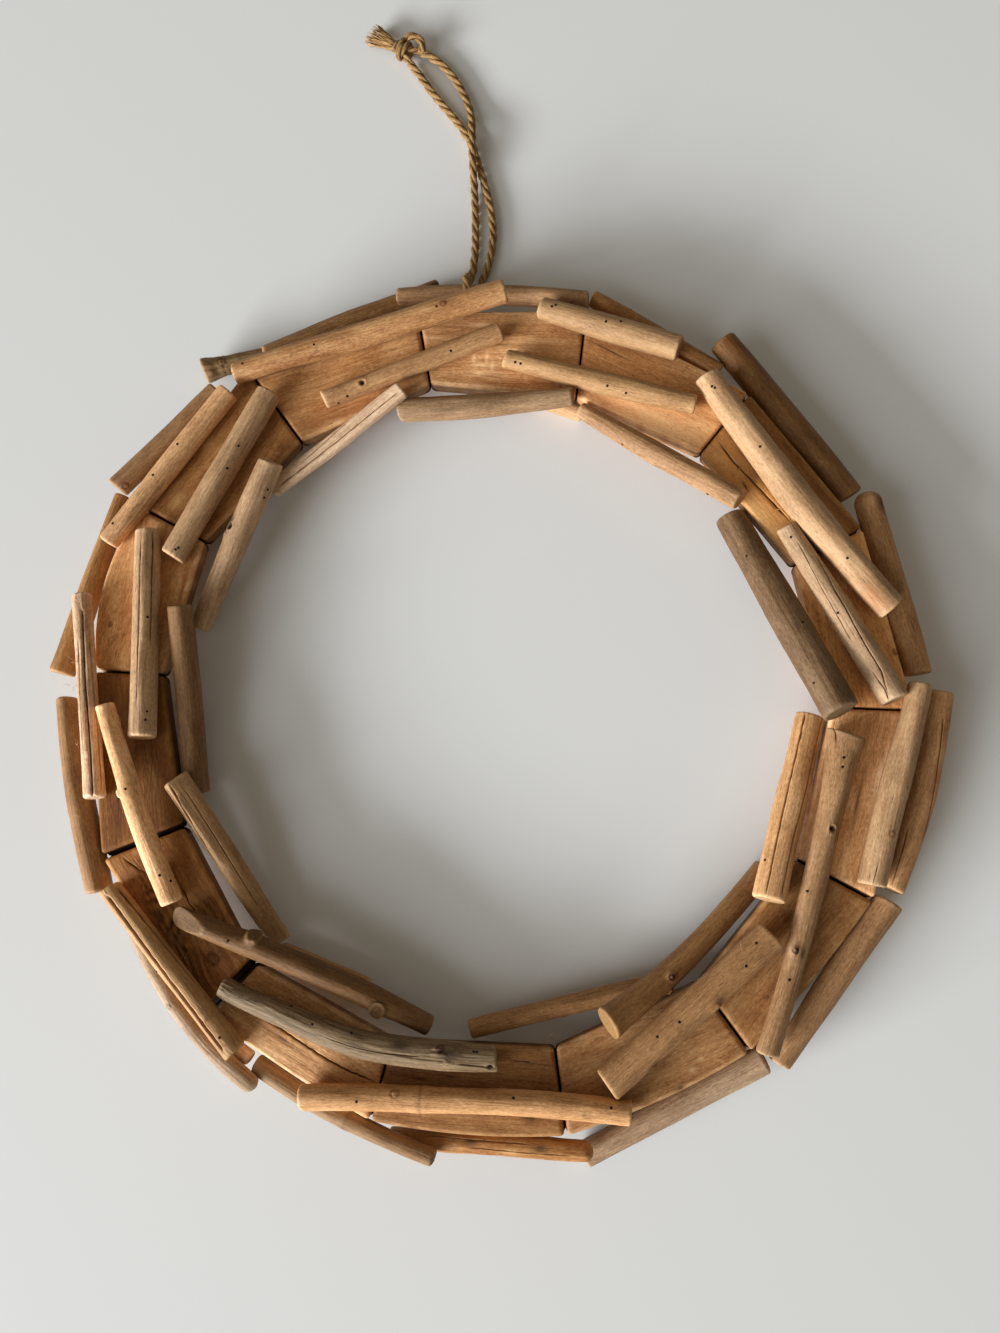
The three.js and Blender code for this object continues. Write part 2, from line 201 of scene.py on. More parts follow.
class Finish:
    """A material made of nodes, with its shader and its output already in place."""

    def __init__(self, name, **gloss):
        self.material = bpy.data.materials.new(name)
        self.material.use_nodes = True
        self.tree = self.material.node_tree
        self.shader = self.tree.nodes["Principled BSDF"]
        for socket, value in gloss.items():
            self.shader.inputs[socket.replace("_", " ")].default_value = value

    def put(self, kind, settings=None, inputs=None, output=0):
        node = self.tree.nodes.new("ShaderNode" + kind)
        for key, value in (settings or {}).items():
            setattr(node, key, value)
        for key, value in (inputs or {}).items():
            if isinstance(value, bpy.types.NodeSocket):
                self.tree.links.new(value, node.inputs[key])
            else:
                node.inputs[key].default_value = value
        return node.outputs[output]

    def maths(self, operation, *values, clamp=False):
        settings = {"operation": operation, "use_clamp": clamp}
        return self.put("Math", settings, dict(enumerate(values)))

    def times(self, value, factor):
        return self.maths("MULTIPLY", value, factor)

    def plus(self, value, other):
        return self.maths("ADD", value, other)

    def layer(self, name):
        return self.put("Attribute", {"attribute_name": name}, output="Vector")

    def parts_of(self, vector):
        node = self.tree.nodes.new("ShaderNodeSeparateXYZ")
        self.tree.links.new(vector, node.inputs[0])
        return node.outputs

    def stretched(self, vector, scale):
        settings = {"operation": "MULTIPLY"}
        return self.put("VectorMath", settings, {0: vector, 1: scale})

    def noise(self, vector, scale, detail=3.0, roughness=0.55, distortion=0.0):
        inputs = {
            "Vector": self.stretched(vector, scale), "Scale": 1.0, "Detail": detail,
            "Roughness": roughness, "Distortion": distortion,
        }
        return self.put("TexNoise", None, inputs)

    def spread(self, value, low, high, least=0.0, most=1.0):
        """value, stretched so that low becomes least and high becomes most."""
        inputs = {"Value": value, "From Min": low, "From Max": high,
                  "To Min": least, "To Max": most}
        return self.put("MapRange", None, inputs)

    def ramp(self, value, stops):
        node = self.tree.nodes.new("ShaderNodeValToRGB")
        self.tree.links.new(value, node.inputs[0])
        points = node.color_ramp.elements
        while len(points) < len(stops):
            points.new(0.5)
        for point, (place, colour) in zip(points, stops):
            point.position = place
            point.color = linear(colour)
        return node.outputs[0]

    def mix(self, share, first, second):
        node = self.tree.nodes.new("ShaderNodeMix")
        node.data_type = "RGBA"
        for index, value in ((0, share), (6, first), (7, second)):
            if isinstance(value, bpy.types.NodeSocket):
                self.tree.links.new(value, node.inputs[index])
            else:
                value = linear(value) if index else value
                node.inputs[index].default_value = value
        return node.outputs[2]

    def relief(self, height, depth, strength):
        inputs = {"Height": height, "Distance": depth * MM, "Strength": strength}
        self.tree.links.new(self.put("Bump", None, inputs), self.shader.inputs["Normal"])

    def end(self, colour, roughness):
        self.tree.links.new(colour, self.shader.inputs["Base Color"])
        self.tree.links.new(roughness, self.shader.inputs["Roughness"])
        return self.material


def linear(colour):
    """A colour given as 0 to 255, as the eye sees it on a screen."""
    shares = [c / 255 for c in colour]
    return [c / 12.92 if c <= 0.04045 else ((c + 0.055) / 1.055) ** 2.4 for c in shares] + [1]


def jute():
    finish = Finish("jute_fibre", Specular_IOR_Level=0.25)
    fibre = finish.layer("grain")
    shadow = finish.parts_of(finish.layer("marks"))[0]
    strands = finish.noise(fibre, (0.10, 5.0, 5.0), 4.0, 0.65)
    patches = finish.noise(fibre, (0.08, 0.5, 0.5), 2.0)
    tone = finish.plus(finish.times(strands, 0.75), finish.times(patches, 0.25))
    colour = finish.ramp(tone, (
        (0.34, (84, 58, 30)), (0.45, (140, 104, 62)), (0.55, (176, 140, 92)),
        (0.68, (212, 182, 134)),
    ))
    colour = finish.mix(finish.times(shadow, 0.85), colour, (58, 38, 18))
    finish.relief(strands, 0.5, 0.8)
    return finish.end(colour, finish.spread(strands, 0.3, 0.7, 0.9, 0.75))


jute_finish = jute()


def waves(rng, count, longest):
    """A smooth line that wanders about zero, as a function of the distance along it."""
    rates = 2 * math.pi / (longest * rng.uniform(0.35, 1.0, count))
    starts = rng.uniform(0, 2 * math.pi, count)
    sizes = rng.uniform(0.5, 1.0, count) / count
    return lambda x: (np.sin(np.multiply.outer(x, rates) + starts) * sizes).sum(-1)


def lay_twine(skin, points, rng, size=1.0, start_turn=0.0):
    """Adds one length of twine, its plies turning as they run, closed at both ends."""
    line, reached = smooth_line(points, TWINE_STEP)
    forwards, sides, overs = frames_along(line)
    turn = np.linspace(0, 2 * math.pi, TWINE_SIDES, endpoint=False)
    ply_angle = (turn * PLIES + math.pi) % (2 * math.pi) / PLIES - math.pi / PLIES
    reach = PLY_OFFSET * np.cos(ply_angle)
    reach = reach + np.sqrt(PLY_RADIUS ** 2 - (PLY_OFFSET * np.sin(ply_angle)) ** 2)
    fullness = 1 + UNEVEN_PLIES * waves(rng, 4, 9.0)(reached)[:, None]
    fuzz = rng.normal(0, FUZZ, (len(line), TWINE_SIDES))
    radius = size * (reach[None, :] * fullness + fuzz)
    angle = turn[None, :] + start_turn + 2 * math.pi * reached[:, None] / TWINE_LAY
    angle = angle + UNEVEN_LAY * waves(rng, 3, 40.0)(reached)[:, None]
    rings = line[:, None] + radius[..., None] * (
        np.cos(angle)[..., None] * sides[:, None] + np.sin(angle)[..., None] * overs[:, None]
    )
    ends = line[[0, -1]] + forwards[[0, -1]] * np.array([[-0.3], [0.3]])
    away = rng.uniform(0, 500)
    x = np.repeat(reached[:, None], TWINE_SIDES, 1) + away
    grain = np.stack([x, radius * np.cos(angle - 0.7), radius * np.sin(angle - 0.7)], axis=-1)
    grain = np.vstack([grain.reshape(-1, 3), [[away, 0, 0], [away + reached[-1], 0, 0]]])
    # The valleys between the plies are marked dark: painted shade
    valley = np.clip((0.82 - radius / (2 * size)) / 0.24, 0, 1)
    marks = np.zeros((len(grain), 3))
    marks[:-2, DARK] = valley.ravel()
    skin.tube(rings, ends, grain, marks)
    return line


def lay_fibre(skin, points, thickness, rng, sides=4):
    """Adds one loose fibre, thinner towards its tip."""
    line, reached = smooth_line(points, 2.2)
    line[:, 2] = np.maximum(line[:, 2], 0.15)
    forwards, across, overs = frames_along(line)
    turn = np.linspace(0, 2 * math.pi, sides, endpoint=False)
    radius = thickness * np.linspace(1.0, 0.45, len(line))
    rings = line[:, None] + radius[:, None, None] * (
        np.cos(turn)[None, :, None] * across[:, None]
        + np.sin(turn)[None, :, None] * overs[:, None]
    )
    away = rng.uniform(0, 500)
    grain = np.zeros((len(line) * sides + 2, 3))
    grain[:-2, 0] = np.repeat(reached, sides) + away
    grain[:, 1] = rng.uniform(0, 40)
    skin.tube(rings, line[[0, -1]] + forwards[[0, -1]] * 0.02, grain)


def lay_hairs(skin, line, count, rng):
    """Adds the short fibres that stand out of a length of twine."""
    forwards, sides, overs = frames_along(line)
    for index in rng.integers(8, len(line) - 8, count):
        turn = rng.uniform(-0.3, math.pi + 0.3)
        outwards = math.cos(turn) * sides[index] + math.sin(turn) * overs[index]
        drift = forwards[index] * rng.choice([-1, 1]) * rng.uniform(0.5, 1.4)
        root = line[index] + outwards * 1.3
        length = rng.uniform(1.4, 4.2)
        bend = rng.normal(0, 0.35, 3)
        middle = root + unit(outwards * 0.75 + drift) * length * 0.5
        tip = root + unit(outwards * 0.6 + drift + bend) * length
        lay_fibre(skin, (root, middle, tip), rng.uniform(0.05, 0.09), rng, 3)


# Knot: an overhand knot tied with both legs at once. One turn wraps the neck, one strand
# comes over the top of it, and the two cut tails have come undone into a fan of fibres.
KNOT_MIDDLE = np.array([-47.6, 333.6, 4.8])
TAIL_TURN, TAIL_LENGTH = math.radians(55), 21.0
WRAP_TURNS, WRAP_PITCH = 1.75, 3.4
WRAP_ACROSS, WRAP_UP = 3.9, 2.5
TAIL_FIBRES, LEG_HAIRS = 150, 75
tail_way = np.array([-math.sin(TAIL_TURN), math.cos(TAIL_TURN), 0.0])
tail_across = np.array([math.cos(TAIL_TURN), math.sin(TAIL_TURN), 0.0])
UP = np.array([0.0, 0.0, 1.0])
rng = np.random.default_rng(41)
knot = Skin()
turns = np.linspace(-0.35, WRAP_TURNS - 0.35, 15) * 2 * math.pi
wrap = [
    KNOT_MIDDLE + tail_across * WRAP_ACROSS * math.cos(turn) + UP * WRAP_UP * math.sin(turn)
    + tail_way * (WRAP_PITCH * (turn / 2 / math.pi - WRAP_TURNS / 2 + 0.35) + 0.6)
    for turn in turns
]
lay_twine(knot, wrap, rng, 0.98)
neck_end = KNOT_MIDDLE + tail_way * 9.5
lay_twine(knot, (
    (-43.6, 326.3, 2.8), (-45.4, 329.0, 3.4), KNOT_MIDDLE - UP * 0.6 - tail_across,
    KNOT_MIDDLE + tail_way * 5 - tail_across * 1.3 - UP * 0.5,
    neck_end - tail_across * 1.6 - UP * 1.2,
), rng, 0.9)
lay_twine(knot, (
    (-37.6, 333.4, 3.3), (-40.6, 334.4, 3.8), (-44.4, 334.3, 4.6),
    KNOT_MIDDLE + tail_way * 3 + tail_across * 1.2, neck_end + tail_across * 1.5 - UP * 1.2,
), rng, 0.9)
lay_twine(knot, (
    (-38.4, 333.0, 4.4), (-38.3, 336.2, 6.4), (-40.6, 338.8, 7.6), (-44.2, 339.6, 7.4),
    (-47.6, 338.6, 5.8), (-49.6, 336.0, 3.4),
), rng, 0.95, 1.0)
for index in range(TAIL_FIBRES):
    spread = rng.uniform(-1, 1)
    height = rng.uniform(-1, 1) * math.sqrt(1 - spread ** 2)
    root = KNOT_MIDDLE + tail_way * 6.2 + tail_across * spread * 2.2 + UP * height * 1.8
    middle = KNOT_MIDDLE + tail_way * 13 + tail_across * spread * 3.6
    middle = middle + UP * (height * 2.2 - 0.8) + rng.normal(0, 0.35, 3)
    reach = TAIL_LENGTH + rng.uniform(-2.2, 0.6)
    tip = KNOT_MIDDLE + tail_way * reach + tail_across * spread * 6.0
    tip = tip + UP * (height * 2.9 - 1.4) + rng.normal(0, 0.45, 3)
    lay_fibre(knot, (root, middle, tip), rng.uniform(0.22, 0.42), rng)
knot_piece = knot.piece("twine_knot_and_tails", jute_finish)
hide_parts("twine_knot")

hairs = Skin()
for name, route in (("twine_under_leg", UNDER_LEG), ("twine_over_leg", OVER_LEG)):
    leg = Skin()
    line = lay_twine(leg, route, rng)
    lay_hairs(hairs, line, LEG_HAIRS, rng)
    leg_piece = leg.piece(name, jute_finish)
    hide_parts("hanging_twine")
hair_piece = hairs.piece("twine_loose_fibres", jute_finish)


# Planks: fourteen trapezoids of planed softwood 9 mm thick, their edges sanded round, butted
# end to end into a ring that the lowest sticks hold 9 mm off the floor. Each has its own
# cracks, knots and torn grain.
PLANK_COUNT, PLANK_THICKNESS, PLANK_BACK = 14, 9.0, 9.0
PLANK_TOP = PLANK_BACK + PLANK_THICKNESS
FIRST_JOINT, JOINT_STEP = -10.8, 360 / PLANK_COUNT
PLANK_EDGE = 1.8
JOINT_SHUT, JOINT_OVERLAP, WIDE_JOINT = 13.0, 0.03, 2
MARKS = {"dark": DARK, "pale": PALE, "red": RED}
# For each joint: how far its inner and outer ends stray in degrees, how far from the ring's
# middle they lie, and how wide it stands open
JOINTS = (
    ((-0.3, -0.2), (147.5, 184.5), 1.0), ((1.0, -1.2), (142.5, 185.5), 1.0),
    ((0.2, -0.2), (144.5, 181.0), 0.8), ((0.5, -0.5), (145.5, 180.0), 0.8),
    ((0.1, 0.1), (147.0, 181.5), 1.0), ((0.3, 0.3), (147.0, 181.5), 1.4),
    ((0.0, 0.0), (148.0, 181.5), 0.9), ((-0.6, 0.1), (148.5, 182.5), 1.0),
    ((-0.3, -0.3), (149.0, 181.5), 0.9), ((-0.3, 0.0), (149.5, 178.0), 4.0),
    ((-0.1, 0.3), (143.5, 181.0), 2.2), ((1.3, 1.3), (145.0, 176.5), 1.2),
    ((0.5, 0.5), (147.5, 183.0), 1.0), ((-0.2, -0.2), (146.5, 192.0), 1.0),
)
# How far the outer edges of some planks bulge between their joints
OUTER_BULGES = {7: 1.2, 8: 2.5, 9: 2.5, 10: 1.5, 12: 1.0, 13: 7.3}
# For each plank: its tone, dark below 0, its warmth, cool below 0, and what the photo shows on
# it. A crack is its width, its depth and its pixels, and a mark its kind, its pixel, its length
# and its width.
PLANK_MARKS = {
    1: dict(tone=0.75,
            marks=(("red", (338, 412), 60, 9), ("red", (400, 405), 30, 7))),
    2: dict(tone=0.95, warmth=-0.3,
            marks=(("pale", (483, 325), 12, 2), ("red", (520, 383), 34, 3),
                   ("dark", (492, 344), 14, 0.8), ("pale", (474, 358), 2, 5),
                   ("pale", (480, 365), 5, 1.5), ("pale", (487, 357), 1.5, 6),
                   ("pale", (479, 373), 6, 1.5), ("pale", (492, 366), 2, 5),
                   ("red", (476, 378), 8, 1.5), ("red", (492, 376), 9, 1.5))),
    # Plank 3's broad pale mark over its inner half is painted light
    3: dict(tone=1.50, warmth=-0.1,
            marks=(("red", (690, 447), 22, 7), ("dark", (612, 352), 20, 1),
                   ("pale", (655, 418), 60, 14))),
    # Plank 4's dark tone is painted shade over its outer half, and its broad pale mark over the
    # inner half is painted light
    4: dict(tone=-0.45, warmth=1.1,
            cracks=((0.31, 1.2, ((717, 439), (734, 462), (754, 482), (789, 520))),
                    (0.22, 0.7, ((739, 475), (752, 497), (766, 512)))),
            marks=(("red", (735, 500), 26, 4), ("dark", (760, 540), 16, 2),
                   ("pale", (738, 492), 110, 24), ("red", (716, 462), 12, 3))),
    5: dict(tone=1.90, warmth=0.2,
            marks=(("knot", (895.6, 651.6), 2.2, 2.2), ("dark", (818.5, 549), 3, 2))),
    6: dict(tone=1.85, warmth=-0.5,
            marks=(("pale", (881, 777), 14, 5), ("dark", (858, 800), 18, 1))),
    7: dict(tone=-0.60, warmth=0.5,
            marks=(("dark", (768, 997), 1.6, 1.2), ("dark", (800, 930), 24, 1))),
    8: dict(tone=-0.25, warmth=0.1,
            marks=(("pale", (701, 1059), 3, 1.5), ("pale", (692, 1070), 3, 1.5),
                   ("dark", (681, 1088), 3, 1.5), ("red", (640, 1120), 30, 3))),
    9: dict(tone=-0.75, warmth=0.7,
            cracks=((0.19, 0.4, ((502, 1058.5), (530, 1063), (554.5, 1066.6))),),
            marks=(("red", (531, 1119), 8, 4), ("dark", (531, 1118), 5, 1.2),
                   ("dark", (419, 1079), 7, 1.0), ("dark", (450, 1077), 6, 1.0))),
    10: dict(tone=0.75, warmth=-0.3,
             cracks=((0.31, 1.0,
                      ((262, 1018), (279, 1027.5), (322.6, 1057), (348, 1071), (378, 1083))),),
             marks=(("dark", (285, 1040), 20, 1), ("red", (340, 1085), 30, 4))),
    11: dict(tone=-0.50, warmth=1.3,
             cracks=((0.25, 0.8, ((118, 852), (133, 866), (148.5, 875))),
                     (0.19, 0.5, ((178, 880), (190, 905), (208, 930)))),
             marks=(("red", (210.5, 903), 9, 4), ("red", (219.7, 953.5), 7, 4),
                    ("red", (201, 956), 7, 4), ("knot", (213, 959), 5.0, 4.0),
                    ("streak", (158, 900), 60, 14), ("streak", (190, 965), 50, 12),
                    ("streak", (215, 925), 40, 10))),
    12: dict(tone=-1.15, warmth=2.0,
             marks=(("red", (120, 815), 20, 6), ("dark", (192, 838), 12, 3),
                    ("streak", (118, 800), 40, 14), ("streak", (150, 770), 50, 8))),
    13: dict(tone=0.80,
             marks=(("knot", (110, 624.5), 1.8, 1.8), ("red", (182, 590), 22, 2))),
    14: dict(tone=-0.45, warmth=0.8,
             marks=(("pale", (207, 443), 9, 4), ("pale", (177, 502), 9, 4),
                    ("red", (215, 545), 28, 2.5))),
}
TOP_COLUMNS, SIDE_COLUMNS, BACK_COLUMNS, ARRIS_COLUMNS = 46, 7, 14, 4
PLANK_RINGS = 84
ACROSS = np.linspace(0, 1, 301)
QUARTER = np.linspace(0, math.pi / 2, ARRIS_COLUMNS + 2)[1:-1]
# A crack wanders by this share of the plank's width, and draws the skin's places together
CRACK_WANDER, CRACK_PULL = 0.012, 14


def plank_corner(joint, end, side):
    """A plank's corner beside a joint: inside at end 0, outside at end 1."""
    stray, radii, opening = JOINTS[joint % PLANK_COUNT]
    angle = math.radians(FIRST_JOINT + joint * JOINT_STEP + stray[end])
    place = np.array([math.sin(angle), math.cos(angle), 0.0]) * radii[end]
    clockwise = np.array([math.cos(angle), -math.sin(angle), 0.0])
    return place + clockwise * side * opening / 2


def gathered(count, fine, pull):
    """count positions between the ends of fine, closest together where pull is large."""
    reached = np.concatenate([[0], np.cumsum((pull[1:] + pull[:-1]) / 2)])
    return np.interp(np.linspace(0, reached[-1], count), reached, fine)


def bell(far, centre=0.0, spread=1.0, power=2):
    """1 at the centre, and nothing well away from it."""
    return np.exp(-((far - centre) / spread) ** power)


def nearest(surface, pixel):
    """The row and column of the place on a visible surface that lies on a pixel."""
    missed = np.linalg.norm(photo_pixels(surface) - np.array(pixel), axis=-1)
    return np.unravel_index(np.argmin(missed), missed.shape)


def distance_to(places, path):
    """How far each place lies from a chain of points."""
    best = np.full(len(places), 1e9)
    for a, b in zip(path, path[1:]):
        run = b - a
        share = np.clip(((places - a) @ run) / max(run @ run, 1e-9), 0, 1)
        best = np.minimum(best, np.linalg.norm(places - a - share[:, None] * run, axis=1))
    return best


def figured(finish, fibre, lines, colour, stain, figure):
    """The dark late wood of each year, as lines along the board that bend a little."""
    across = finish.parts_of(fibre)[1]
    bent = finish.noise(fibre, (0.012, 0.035, 0.0), 2.0)
    late = finish.maths("SINE", finish.plus(finish.times(across, 1.5), finish.times(bent, 46.0)))
    late = finish.times(finish.spread(late, 0.35, 1.0, 0.0, figure),
                        finish.spread(lines, 0.35, 0.6))
    return finish.mix(late, colour, stain)


def greyed(finish, fibre, colour, weathered):
    """Silver where sun and rain have bleached the wood, and dark grey where dirt has stayed."""
    silver = finish.noise(fibre, (0.02, 0.35, 0.35), 5.0, 0.7, 0.5)
    silver = finish.spread(silver, 0.40, 0.62, 0.0, weathered)
    colour = finish.mix(silver, colour, (174, 157, 133))
    soot = finish.noise(fibre, (0.025, 0.8, 0.8), 4.0, 0.7, 0.8)
    soot = finish.spread(soot, 0.52, 0.66, 0.0, weathered * 1.1)
    return finish.mix(soot, colour, (80, 64, 48))


def end_grain(finish, fibre, patches):
    """A sawn end: the colour of its year rings round the heart, and its grit."""
    level = finish.stretched(fibre, (0.0, 1.0, 1.0))
    from_heart = finish.put("VectorMath", {"operation": "LENGTH"}, {0: level}, "Value")
    rings = finish.plus(finish.times(from_heart, 6.5), finish.times(patches, 5.0))
    rings = finish.maths("SINE", rings)
    grit = finish.noise(fibre, (2.0, 2.2, 2.2), 4.0, 0.7)
    colour = finish.ramp(finish.plus(finish.times(rings, 0.07), grit), (
        (0.28, (110, 78, 48)), (0.5, (160, 124, 82)), (0.72, (196, 164, 118)),
    ))
    return colour, grit


def toned(finish, colour, lightness, warmth):
    """Each piece is lighter or darker, and warmer or cooler, than its kind of wood."""
    light = finish.maths("MULTIPLY_ADD", lightness, 0.5, 1.0)
    scale = {"operation": "SCALE"}
    colour = finish.put("VectorMath", scale, {0: colour, "Scale": light})
    hue = finish.put("VectorMath", scale, {0: (0.14, 0.0, -0.26), "Scale": warmth})
    hue = finish.put("VectorMath", {"operation": "ADD"}, {0: hue, 1: (1.0, 1.0, 1.0)})
    return finish.stretched(colour, hue)


def wood(name, stops, stain=(122, 62, 30), figure=0.0, weathered=0.0):
    """A bare wood: stops are its colours from the darkest grain to the palest. grain holds
    places in the piece's own directions, marks its dark, pale and red places, and wear its
    sawn ends, how light the piece is and how warm."""
    finish = Finish(name, Specular_IOR_Level=0.3)
    fibre = finish.layer("grain")
    dark, pale, red = finish.parts_of(finish.layer("marks"))
    sawn, lightness, warmth = finish.parts_of(finish.layer("wear"))
    streaks = finish.noise(fibre, (0.016, 0.45, 0.45), 4.0, 0.55, 0.2)
    lines = finish.noise(fibre, (0.06, 1.4, 1.4), 3.0, 0.65, 0.2)
    flecks = finish.noise(fibre, (0.55, 1.7, 1.7), 3.0, 0.7)
    patches = finish.noise(fibre, (0.05, 0.14, 0.14), 3.0, 0.5, 0.5)
    value = finish.times(streaks, 0.3)
    for part, weight in ((lines, 0.45), (flecks, 0.9), (patches, 0.65)):
        value = finish.plus(value, finish.times(part, weight))
    colour = finish.ramp(finish.spread(value, 0.86, 1.44), stops)
    if figure:
        colour = figured(finish, fibre, lines, colour, stain, figure)
    pores = finish.noise(fibre, (0.16, 1.9, 1.9), 2.0)
    pores = finish.spread(pores, 0.64, 0.74, 0.0, 0.6)
    colour = finish.mix(pores, colour, (92, 60, 34))
    if weathered:
        colour = greyed(finish, fibre, colour, weathered)
    end_colour, grit = end_grain(finish, fibre, patches)
    colour = finish.mix(sawn, colour, end_colour)
    colour = finish.mix(finish.times(red, finish.spread(lines, 0.3, 0.62)), colour, stain)
    rubbed = finish.times(pale, finish.spread(flecks, 0.3, 0.6, 0.5, 1.0))
    palest = stops[-1][1]
    colour = finish.mix(rubbed, colour, tuple(min(255, c + 16) for c in palest))
    colour = finish.mix(dark, colour, (52, 32, 18))
    colour = toned(finish, colour, lightness, warmth)
    height = finish.plus(streaks, finish.times(lines, 0.6))
    height = finish.plus(height, finish.times(flecks, 0.35))
    height = finish.maths("SUBTRACT", height, finish.times(pores, 0.8))
    height = finish.plus(height, finish.times(finish.times(sawn, grit), 1.2))
    finish.relief(height, 0.45 + 0.3 * weathered, 0.6)
    rough = finish.spread(flecks, 0.3, 0.7, 0.50, 0.68)
    rough = finish.maths("ADD", rough, finish.times(dark, 0.2), clamp=True)
    return finish.end(colour, rough)


PLANK_WOOD = wood("planed_softwood", (
    (0.0, (140, 90, 50)), (0.30, (172, 120, 72)), (0.62, (194, 144, 94)), (1.0, (216, 174, 124)),
), stain=(132, 72, 34), figure=0.35)


